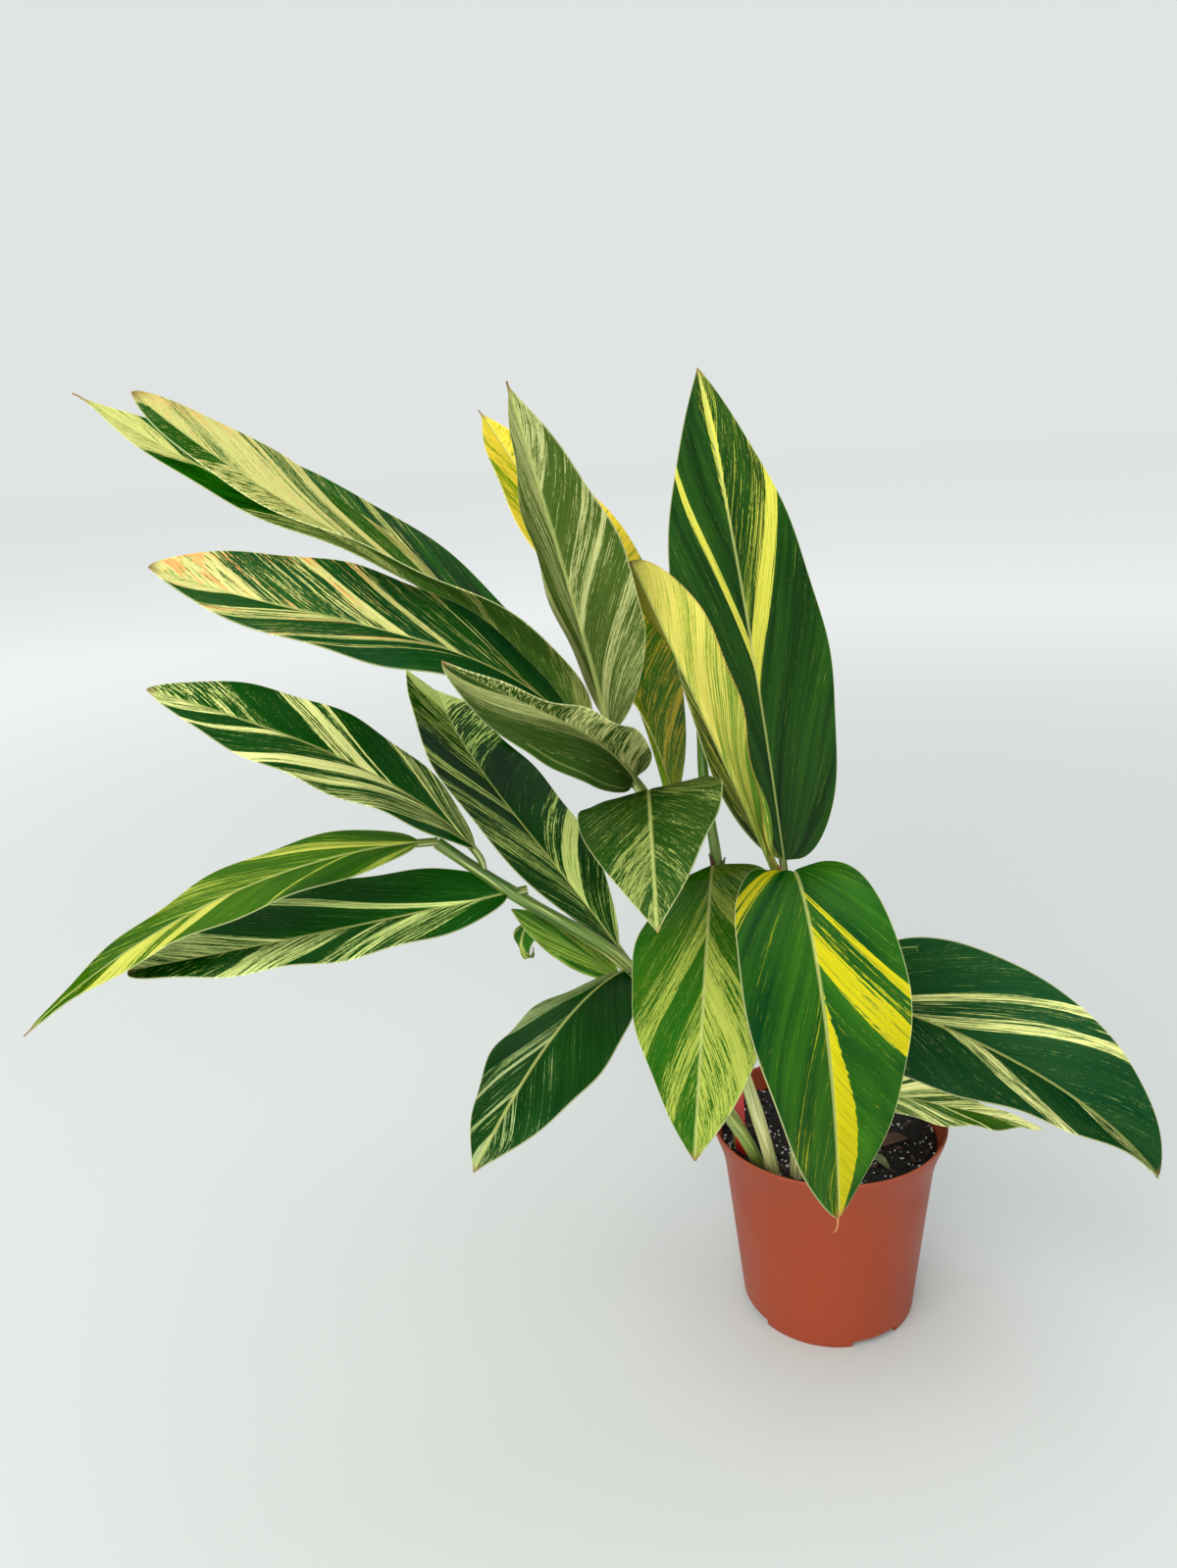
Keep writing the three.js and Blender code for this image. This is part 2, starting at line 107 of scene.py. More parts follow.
def unit(rows):
    return rows / np.linalg.norm(rows, axis=1)[:, None]


def smooth(x):
    x = np.clip(x, 0, 1)
    return x * x * (3 - 2 * x)


# A grid of quads, added flat and moved to places: rows x columns x 3, in metres
def addGrid(name, places, uv=None):
    rows, columns = places.shape[0] - 1, places.shape[1] - 1
    bpy.ops.object.select_all(action="DESELECT")
    bpy.ops.mesh.primitive_grid_add(x_subdivisions=columns, y_subdivisions=rows, size=1)
    piece = bpy.context.object
    piece.name = name
    mesh = piece.data
    mesh.name = name
    flat = np.zeros(len(mesh.vertices) * 3, np.float32)
    mesh.vertices.foreach_get("co", flat)
    flat = flat.reshape(-1, 3) + 0.5
    row = np.rint(flat[:, 1] * rows).astype(int)
    column = np.rint(flat[:, 0] * columns).astype(int)
    mesh.vertices.foreach_set("co", places[row, column].astype(np.float32).ravel())
    if uv is not None:
        corner = np.zeros(len(mesh.loops), int)
        mesh.loops.foreach_get("vertex_index", corner)
        mesh.uv_layers[0].name = "blade"
        mesh.uv_layers[0].data.foreach_set("uv", uv[row, column][corner].astype(np.float32).ravel())
    mesh.update()
    return piece, row, column


def addAttribute(piece, name, values):
    kind = "FLOAT_VECTOR" if values.ndim == 2 else "FLOAT"
    attribute = piece.data.attributes.new(name, kind, "POINT")
    attribute.data.foreach_set("vector" if values.ndim == 2 else "value", values.astype(np.float32).ravel())


def select(piece):
    bpy.ops.object.select_all(action="DESELECT")
    piece.select_set(True)
    bpy.context.view_layer.objects.active = piece


def applyModifier(piece, name, kind, **settings):
    modifier = piece.modifiers.new(name, kind)
    for key, value in settings.items():
        setattr(modifier, key, value)
    select(piece)
    bpy.ops.object.modifier_apply(modifier=name)


# Welds points that meet, closes open ends if asked, and turns all faces outwards
def weldPiece(piece, distance, close=False):
    select(piece)
    bpy.ops.object.mode_set(mode="EDIT")
    bpy.ops.mesh.select_all(action="SELECT")
    bpy.ops.mesh.remove_doubles(threshold=distance)
    if close:
        bpy.ops.mesh.select_all(action="DESELECT")
        bpy.ops.mesh.select_non_manifold()
        bpy.ops.mesh.edge_face_add()
        bpy.ops.mesh.select_all(action="SELECT")
    bpy.ops.mesh.normals_make_consistent(inside=False)
    bpy.ops.object.mode_set(mode="OBJECT")


def joinPieces(name, pieces):
    select(pieces[0])
    for piece in pieces[1:]:
        piece.select_set(True)
    bpy.ops.object.join()
    pieces[0].name = name
    return pieces[0]


def finishPiece(piece, slotName, *replaced, angle=40):
    select(piece)
    bpy.ops.object.transform_apply(location=True, rotation=True, scale=True)
    bpy.ops.object.shade_smooth_by_angle(angle=math.radians(angle))
    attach(piece, "root")
    if replaced:
        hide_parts(*replaced)


# Camera at the photograph's viewing angle
view = {"place": (-0.183, -0.8618, 0.7275), "down": 16.483, "roll": -3.397, "lens": 27.04, "sensor": 36}
bpy.ops.object.camera_add(location=view["place"])
camera = bpy.context.object
turn = Matrix.Rotation(math.radians(90 - view["down"]), 3, "X") @ Matrix.Rotation(math.radians(view["roll"]), 3, "Z")
camera.rotation_euler = turn.to_euler()
camera.data.lens = view["lens"]
camera.data.sensor_width = view["sensor"]
camera.data.clip_end = 100
bpy.context.scene.camera = camera

# Pale floor and soft studio light
studio = {"size": 60, "floor": "#c9cccb", "farFloor": "#fdfefe", "fade": (0.8, 4.5), "air": "#e0e4e3", "airPower": 1,
          "aim": (-0.15, 0, 0.4), "lights": [
    # name, place, size, power, colour
    ("window", (-2.4, -2.4, 3.0), 3.0, 128, "#fffdf8"),
    ("front", (-0.7, -4.2, 1.1), 3.0, 104, "#fffdfa"),
    ("sky", (0.2, 0.6, 2.6), 1.8, 12, "#f7fbff"),
]}
bpy.context.scene.view_settings.view_transform = "Standard"
bpy.ops.mesh.primitive_plane_add(size=studio["size"])
floor = bpy.context.object
floor.name = "studio_floor"
# An even, shineless floor that pales into the distance
floorMaterial, add = newMaterial("matte pale paper")
floorPlace = add("TexCoord").outputs["Object"]
farness = add("VectorMath", {0: floorPlace}, operation="LENGTH")
spread = add("MapRange", {0: farness.outputs["Value"], 1: studio["fade"][0], 2: studio["fade"][1]},
             interpolation_type="SMOOTHSTEP")
tint = add("Mix", {0: spread, 6: studio["floor"], 7: studio["farFloor"]})
shader = add("BsdfPrincipled", {"Base Color": tint, "Roughness": 0.85, "Specular IOR Level": 0})
add("OutputMaterial", {"Surface": shader})
floor.data.materials.append(floorMaterial)

world = bpy.data.worlds.new("soft room")
bpy.context.scene.world = world
world.use_nodes = True
air = world.node_tree.nodes["Background"].inputs
air["Color"].default_value = linearColour(studio["air"])
air["Strength"].default_value = studio["airPower"]
for name, place, size, power, colour in studio["lights"]:
    bpy.ops.object.light_add(type="AREA", location=place)
    lamp = bpy.context.object
    lamp.name = name
    lamp.data.size = size
    lamp.data.energy = power
    lamp.data.color = linearColour(colour)[:3]
    aim = Vector(studio["aim"]) - lamp.location
    lamp.rotation_euler = aim.to_track_quat("-Z", "Y").to_euler()
print("camera, floor and light placed")

# Leaves. Sizes in millimetres, angles in degrees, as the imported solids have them.
# root: where the midrib would start. heading, climb: where the blade points there. droop, straighten, sway, roll
# and twist: how these change up to the tip. fold: how far each half rises from the midrib. full: how blunt the
# outline is at the foot and the tip.
# green: shaded and open green. pale: edge and middle of a pale streak. vein: how far forwards the side veins run on
# the left and right halves, as a share of what is left of the blade. left, right: how much of the half is pale, and
# between these the places on the midrib, from foot to tip, where that changes; a zone follows the side veins out
# from there, so it may start below 0, off the foot
plain, few, some, many, full = 0.02, 0.12, 0.32, 0.58, 0.86
leafColumns = ("root", "length", "width", "heading", "climb", "droop", "straighten", "sway", "roll", "twist",
               "fold", "full", "green", "pale", "vein", "left", "right")
leafRows = {
    "leaf_left_1": ((-158, -53, 343), 219, 90, 238, 16, 79, 30, -1, 0, 15, (0, -23), (0.82, 0.97),
        ("#022702", "#143e0f"), ("#759250", "#96a36e"), (0.5, 0.45), (plain, 0.44, few, 0.68, some), (many, 0.08,
        plain, 0.34, some, 0.46, full, 0.5, few, 0.68, many, 0.72, few, 0.86, full)),
    "leaf_left_2": ((-160, -56, 347), 409, 112, 142, 49, 72, 56, -42, 4, -50, (6, 8), (0.86, 1.06),
        ("#022602", "#094802"), ("#9dbe58", "#cad77a"), (0.25, 0.25), (few, 0.08, some, 0.28, plain, 0.32, many,
        0.38, plain, 0.44, some, 0.68, full), (many, -0.12, few, 0.08, full, 0.16, some, 0.24, plain, 0.48, some,
        0.7, full)),
    "leaf_left_3": ((-204, -41, 374), 89, 34, 178, 58, 189, -89, 87, 3, 0, (-18, -22), (0.53, 2.1),
        ("#1a4f08", "#33640f"), ("#a5ba46", "#c8d25c"), (0.4, 0.4), (plain, 0.2, few, 0.3, plain, 0.44, some),
        (plain, 0.1, some, 0.2, plain, 0.44, some)),
    "leaf_left_4": ((-232, -60, 414), 284, 95, 189, -7, -5, -2, 1, 20, -18, (8, 15), (0.48, 0.44),
        ("#023602", "#0f4e05"), ("#b4d16c", "#e2ed94"), (0.3, 0.6), (plain, 0, some, 0.14, many, 0.24, some, 0.32,
        plain, 0.4, many, 0.62, few), (plain, 0.04, many, 0.16, plain, 0.56, many)),
    "leaf_left_5": ((-259, -58, 435), 265, 98, 178, 55, 66, 37, 19, 5, 32, (6, 3), (0.64, 0.83),
        ("#034304", "#0c4c08"), ("#cfe07a", "#fcfca6"), (0.55, 0.35), (plain, -0.36, some, 0, many, 0.12, few, 0.2,
        full, 0.34, few, 0.58, full, 0.64, plain, 0.76, many), (some, 0.02, many, 0.06, plain, 0.28, full, 0.3, few,
        0.34, full, 0.4, many, 0.46, plain, 0.66, some)),
    "leaf_left_6": ((-293, -60, 455), 309, 66, 196, 5, 49, 6, 0, 20, -20, (0, 3), (0.55, 0.79),
        ("#134402", "#3f6807"), ("#a3b63d", "#c0c153"), (0.3, 0.4), (some, -0.12, plain, 0.12, many, 0.16, plain,
        0.44, full, 0.5, some, 0.56, full, 0.72, few), (few, -0.08, many, 0.04, few, 0.22, some, 0.38, few)),
    "leaf_middle_1": ((-139, -24, 463), 212, 101, 267, 39, 100, 14, 1, -7, -13, (-1, -3), (0.66, 1.06),
        ("#113809", "#284611"), ("#818e47", "#8b964e"), (0.35, 0.35), (some, 0.28, few, 0.66, some, 0.72, few, 0.8,
        some), (few, 0.56, many, 0.6, some, 0.62, many, 0.82, few, 0.88, many)),
    "leaf_middle_2": ((-146, -19, 475), 284, 65, 247, 43, 50, 36, -8, -63, 30, (-43, -39), (0.45, 0.72),
        ("#033902", "#2a4c15"), ("#bfc778", "#fcfba6"), (0.25, 0.95), (some, -0.04, many, 0.12, some, 0.24, many,
        0.46, some), (few, 0.08, some, 0.32, many, 0.68, few)),
    "leaf_middle_3": ((-173, -46, 500), 338, 104, 204, 65, 131, 94, -1, 23, 11, (10, 12), (0.79, 0.73),
        ("#0e3b1c", "#194d13"), ("#b6bd65", "#dad786"), (0.55, 0.35), (plain, 0.24, some, 0.28, plain, 0.34, many,
        0.38, few, 0.56, many, 0.68, plain, 0.82, full), (plain, 0.08, some, 0.14, few, 0.32, many, 0.36, few, 0.46,
        full, 0.5, some, 0.76, full)),
    "leaf_middle_4": ((-158, -18, 490), 290, 101, 236, 72, 12, 6, 2, 15, -3, (15, 19), (0.86, 1.06),
        ("#2a460b", "#485b23"), ("#a6ad6b", "#bec080"), (0.45, 0.6), (some, 0, many, 0.1, few, 0.32, full, 0.36,
        some, 0.44, many, 0.48, few, 0.72, many), (many, -0.24, few, 0, some, 0.54, many)),
    "leaf_middle_5": ((-169, -5, 494), 410, 128, 189, 64, 92, 75, 2, -29, 64, (13, 8), (0.58, 0.73),
        ("#1a4f0f", "#2e5d17"), ("#b5b861", "#d0cc79"), (0.2, 0.5), (many, -0.02, some, 0.04, few, 0.2, many, 0.24,
        few, 0.46, many, 0.8, few, 0.96, full), (many, 0.12, few, 0.32, full, 0.4, some, 0.5, full, 0.54, some,
        0.56, full, 0.76, many, 0.84, full)),
    "leaf_middle_6": ((-161, 75, 481), 519, 124, 168, 55, 79, 60, 4, -19, 57, (17, 15), (0.9, 1.23),
        ("#022802", "#145502"), ("#929b4b", "#bcbc6c"), (0.25, 0.35), (some, 0.52, plain, 0.76, many, 0.78, full),
        (plain, 0.08, few, 0.24, full, 0.26, few, 0.8, full)),
    "leaf_middle_7": ((-116, 10, 429), 387, 156, 150, 81, 55, 13, -28, -19, 20, (19, 10), (0.7, 1.09),
        ("#115c02", "#5d9306"), ("#c4b92e", "#dfc436"), (0.35, 0.2), (some, 0.2, full, 0.46, many, 0.6, some, 0.66,
        full, 0.76, many, 0.8, full), (some, 0.06, full, 0.08, some, 0.3, many, 0.46, full)),
    "leaf_back_1": ((-91, -8, 404), 274, 119, 263, 22, 130, 55, -7, -14, -18, (-2, -3), (0.88, 0.94),
        ("#135004", "#2e5906"), ("#94a140", "#9ca745"), (0.5, 0.5), (some, 0.12, many, 0.22, few, 0.38, many, 0.5,
        full, 0.58, many), (plain, 0.06, few, 0.2, some, 0.3, many, 0.4, plain, 0.56, some, 0.64, many, 0.72, few)),
    "leaf_back_2": ((-94, 22, 507), 210, 56, 80, 50, -4, 0, 0, -12, 0, (16, 16), (0.7, 0.9),
        ("#0c460e", "#245e14"), ("#c8cf5e", "#ece77c"), (0.5, 0.5), (plain, 0.1, many, 0.2, plain, 0.5, many, 0.6,
        plain), (plain, 0.3, many, 0.4, plain, 0.6, some, 0.7, plain)),
    "leaf_front_1": ((-41, -63, 403), 310, 110, 263, 56, 267, 124, 16, -15, 50, (11, 9), (0.9, 0.78),
        ("#02340d", "#30640e"), ("#949723", "#b3aa0e"), (0.35, 0.5), (plain, 0.24, full, 0.28, few, 0.32, many,
        0.34, few, 0.36, full, 0.46, plain), (plain, -0.28, full, -0.22, some, -0.2, full, -0.16, some, -0.14, many,
        -0.12, plain, 0.1, some, 0.12, plain, 0.5, few, 0.84, some)),
    "leaf_front_2": ((-41, -50, 405), 430, 155, 93, 57, -11, -9, 11, -39, 53, (9, -4), (0.42, 0.97),
        ("#022102", "#224d10"), ("#a1ab3c", "#cbc74a"), (0.55, 0.55), (some, -0.28, plain, 0.34, full, 0.4, plain,
        0.8, few), (plain, 0.3, full, 0.4, some, 0.5, few, 0.8, some)),
    "leaf_front_3": ((-50, -69, 417), 248, 81, 181, 68, 1, -1, -5, -11, -76, (-15, 60), (0.7, 0.57),
        ("#256d0c", "#7a9b2c"), ("#c7c847", "#fce770"), (0.6, 0.6), (few, -0.3, many, -0.1, some, 0.04, many, 0.32,
        full, 0.5, many, 0.6, full), (some, -0.3, many, -0.1, some, 0.04, many, 0.34, full)),
    "leaf_right_1": ((11, -18, 207), 177, 67, -1, -11, 19, 7, 10, -12, 29, (5, 1), (0.61, 0.8),
        ("#2b480d", "#417018"), ("#ccd977", "#fcfaa1"), (0.55, 0.3), (full, -0.3, plain, -0.2, full, 0, some, 0.1,
        many, 0.2, few, 0.32, many, 0.6, full), (some, 0.04, many, 0.12, some, 0.18, many, 0.26, plain, 0.36, many,
        0.4, plain, 0.58, some, 0.78, full)),
    "leaf_right_2": ((13, -26, 296), 258, 133, 314, 1, 33, -23, 31, -48, 37, (41, 28), (0.27, 0.67),
        ("#023516", "#1d441c"), ("#b8c570", "#e1e091"), (0.6, 0.45), (plain, -0.1, many, -0.02, few, 0.12, many,
        0.24, plain), (plain, 0.24, many, 0.36, plain, 0.62, some)),
}
# joint, stalk: where the leaf stalk leaves its cane, and its length. hook: how far the tip curls down. tail, curl:
# a dried tip, and its curl in degrees a millimetre. finer, speckle, flecks: how fine and broken the streaks are.
# dull: how greyed the underside is. blush: how strong the warm blotches are. margin, dry: colours of the edge and
# the dried tip. spine, push: a pale wedge beside the midrib as half, start, end and reach, and its strength
leafExtras = {
    "leaf_left_2": {"hook": 150},
    "leaf_left_3": {"joint": (-200, -50, 376), "stalk": 8},
    "leaf_left_5": {"joint": (-262, -60, 427)},
    "leaf_left_6": {"tail": 6},
    "leaf_middle_1": {"speckle": 5, "flecks": 0.92, "finer": 1.7},
    "leaf_middle_2": {"joint": (-143, -20, 468), "dull": 0.2, "speckle": 5, "flecks": 0.92, "finer": 1.7},
    "leaf_middle_3": {"joint": (-148, -15, 475), "stalk": 34, "blush": 0.9, "finer": 1.2},
    "leaf_middle_4": {"joint": (-152, -13, 481), "stalk": 30, "tail": 3, "dull": 0.1, "speckle": 6, "finer": 1.4},
    "leaf_middle_5": {"joint": (-156, -10, 486), "stalk": 30, "blush": 0.35, "speckle": 6, "finer": 1.4},
    "leaf_middle_6": {"joint": (-159, -3, 490), "stalk": 38, "tail": 8, "curl": 2},
    "leaf_middle_7": {"joint": (-127, -25, 420), "tail": 5, "dull": 0.2, "speckle": 6, "flecks": 0.95, "finer": 1.4},
    "leaf_back_1": {"joint": (-87, -1, 401), "speckle": 5, "flecks": 0.92, "finer": 1.7},
    "leaf_front_1": {"tail": 17, "curl": 3, "dry": "#b5764a", "push": 7.0, "spine": ((0, 0.46, 1, 0.54),)},
    "leaf_front_2": {"joint": (-41, -59, 396), "push": 4.0, "spine": ((0, 0.55, 1, 0.16), (1, 0.62, 1, 0.16))},
    "leaf_front_3": {"joint": (-46, -59, 397), "margin": "#a8683c"},
    "leaf_right_2": {"speckle": 3, "finer": 1.4},
}

# Every blade: mesh rows and columns, millimetres, and shares of the blade's length
blade = {"rows": 104, "columns": 30, "gather": 1.4, "spacing": (0.55, 0.45), "pathSteps": 80, "stalkRows": 6,
         "stalkWidth": 5.5, "tipWidth": 0.7, "thickness": 0.8, "stalkThickness": 3.6, "ribTaper": 0.75,
         "ribReach": 2.6, "grooveDepth": 0.9, "grooveWidth": 1.6, "waveHeight": 1.8, "waveCount": 3.5,
         "waveShift": 0.37, "hookStart": 0.74, "tailRows": 9, "dryStart": 0.975, "veinLean": 0.7, "veinBend": 0.85,
         "veinTip": 0.6}

# First the noises: changes in a centimetre across and along the veins, detail, place and roughness.
# fringe, cover, middle: where a streak's edge, the streak and its paler middle begin and end
pattern = {"streaks": (3.6, 0.3, 3, 0, 0.6), "specks": (13, 4, 2, 3, 0.55),
           "blotches": (0.7, 0.12, 1, 5, 0.55), "veins": (8, 0.3, 3, 9, 0.55),
           "clouds": (0.16, 0.2, 1, 17, 0.55), "warmth": (1.1, 0.3, 2, 21, 0.55),
           "pleats": (1.7, 0.08, 1, 13, 0.55), "gain": 14, "spread": 1.75, "span": 10, "start": -0.6,
           "fade": 0.004, "wobble": 0.012, "fringe": (-1.1, -0.1), "cover": (-0.3, 0.35), "middle": (1.75, 3),
           "warm": "#eea45c", "underside": "#56732f", "sheen": "#8ccf97"}
usual = {"stalk": 15, "hook": 0, "tail": 0, "curl": 0, "finer": 1, "speckle": 4.5, "flecks": 0.99, "dull": 0.42,
         "blush": 0, "push": 0, "spine": (), "rib": "#b3bb6c", "margin": "#c9cc92", "dry": "#7d5a33"}


def leafDirections(leaf, t):
    hooked = smooth((t - blade["hookStart"]) / (1 - blade["hookStart"])) * leaf["hook"]
    curled = leaf["curl"] * np.maximum(t - 1, 0) * leaf["length"]
    climb = np.radians(leaf["climb"] - leaf["droop"] * t + leaf["straighten"] * t * t - hooked - curled)
    heading = np.radians(leaf["heading"] + leaf["sway"] * t)
    roll = np.radians(leaf["roll"] + leaf["twist"] * t)[:, None]
    along = np.stack([np.cos(climb) * np.cos(heading), np.cos(climb) * np.sin(heading), np.sin(climb)], -1)
    over = np.stack([-np.sin(climb) * np.cos(heading), -np.sin(climb) * np.sin(heading), np.cos(climb)], -1)
    aside = np.stack([np.sin(heading), -np.cos(heading), 0 * heading], -1)
    return along, aside * np.cos(roll) + over * np.sin(roll), over * np.cos(roll) - aside * np.sin(roll)


# Rows of places from the stalk's start to the tip: centre, side and up, with u = 0 along the stalk
def leafStations(leaf):
    steps = blade["pathSteps"]
    last = 1 + leaf["tail"] / leaf["length"]
    ends = np.concatenate([np.arange(steps + 1) / steps, np.linspace(1, last, blade["tailRows"])[1:]])
    along, _, _ = leafDirections(leaf, (ends[1:] + ends[:-1]) / 2)
    path = np.vstack([[0, 0, 0], np.cumsum(along * np.diff(ends)[:, None], 0)]) * leaf["length"]
    root = np.array(leaf["root"], float)
    path = path + root
    end = leaf["stalk"] / leaf["length"]
    even = np.arange(blade["rows"] + 1) / blade["rows"]
    evenly, eased = blade["spacing"]
    u = np.minimum(evenly * even + eased * (1 - np.cos(np.pi * even)) / 2, 1)
    if leaf["tail"]:
        beyond = (last - 1) * np.arange(1, blade["tailRows"] + 1) / blade["tailRows"] / (1 - end)
        u = np.concatenate([u, 1 + beyond])
    t = end + (1 - end) * u
    _, side, up = leafDirections(leaf, t)
    centre = np.stack([np.interp(t, ends, path[:, k]) for k in range(3)], -1)
    share = np.arange(blade["stalkRows"]) / blade["stalkRows"]
    start = np.array(leaf.get("joint", root), float)
    bow = root if "joint" in leaf else (start + centre[0]) / 2
    w = share[:, None]
    stalk = (1 - w) ** 2 * start + 2 * w * (1 - w) * bow + w * w * centre[0]
    ahead = 2 * (1 - w) * (bow - start) + 2 * w * (centre[0] - bow)
    ahead = unit(ahead)
    stalkSide = unit(side[0] - ahead * (ahead @ side[0])[:, None])
    stalkUp = np.cross(stalkSide, ahead)
    return [np.concatenate(pair) for pair in ((stalk, centre), (stalkSide, side), (stalkUp, up), (0 * share, u))]


def leafPlaces(leaf, columns):
    centre, side, up, u = leafStations(leaf)
    rootFull, tipFull = leaf["full"]
    widest = rootFull / (rootFull + tipFull)
    half = leaf["width"] / 2 * (u / widest) ** rootFull * (np.clip(1 - u, 0, 1) / (1 - widest)) ** tipFull
    least = blade["stalkWidth"] + (blade["tipWidth"] - blade["stalkWidth"]) * np.minimum(u, 1)
    half = np.maximum(half, least / 2)
    hand = (columns >= 0).astype(int)
    sign = np.where(columns < 0, -1, 1)
    reach = np.abs(columns)
    fold = np.radians(np.array(leaf["fold"], float))[hand]
    soften = np.clip(half[:, None] * reach / (2 * blade["ribReach"]), 0, 1)
    lean = fold * soften
    outward = (side[:, None] * (sign * np.cos(fold))[None, :, None] + up[:, None] * np.sin(fold)[None, :, None])
    normal = (up[:, None] * np.cos(lean)[..., None] - side[:, None] * (sign * np.sin(lean))[..., None])
    phase = 2 * np.pi * (blade["waveCount"] * u[:, None] + blade["waveShift"] * hand) + leaf["length"]
    swell = np.sqrt(np.clip(np.sin(np.pi * np.minimum(u, 1)), 0, 1))[:, None]
    wave = blade["waveHeight"] * reach ** 2 * np.sin(phase) * swell
    groove = np.exp(-(half[:, None] * reach / blade["grooveWidth"]) ** 2) * (1 - 0.5 * u[:, None])
    places = centre[:, None] + outward * (half[:, None] * reach)[..., None]
    places = places + normal * (wave - blade["grooveDepth"] * groove + blade["thickness"] / 2)[..., None]
    return places, half, u, reach, hand


# The place along the midrib that each point's side vein leaves from. Veins sweep more steeply towards the tip
def veinPlaces(leaf, u, reach, hand):
    sweep = np.array([k * (blade["veinLean"] + k) for k in leaf["vein"]])[hand] * reach ** blade["veinBend"]
    keep = 1 - blade["veinTip"]
    left = np.clip(1 - u[:, None], 0, 1) ** keep + keep * sweep
    return np.clip(1 - left ** (1 / keep), pattern["start"], 1)


# How far each point lies inside a pale wedge beside the midrib, as a share of the half's width
def spinePlaces(leaf, u, reach, hand):
    inside = 0 * reach + 0 * u[:, None] - 1
    for side, start, end, width in leaf["spine"]:
        edge = (width * smooth((u - start) / (end - start)) - 0.5 * (u < start))[:, None]
        inside = np.maximum(inside, np.where((hand == side) | (side < 0), edge - reach, -1))
    return inside


# Ramp stops of one half; a stop's value pushes the streaks until that share of the blade is pale
def zoneStops(steps):
    def value(share):
        return 0.5 + pattern["spread"] * NormalDist().inv_cdf(share) / pattern["span"]

    shares, starts = steps[0::2], steps[1::2]
    stops = [(0.0, value(shares[0]))]
    for start, before, share in zip(starts, shares, shares[1:]):
        place = (start - pattern["start"]) / (1 - pattern["start"])
        stops += [(place - pattern["fade"], value(before)), (place + pattern["fade"], value(share))]
    return [(place, (level, level, level, 1)) for place, level in stops + [(1.0, stops[-1][1])]]


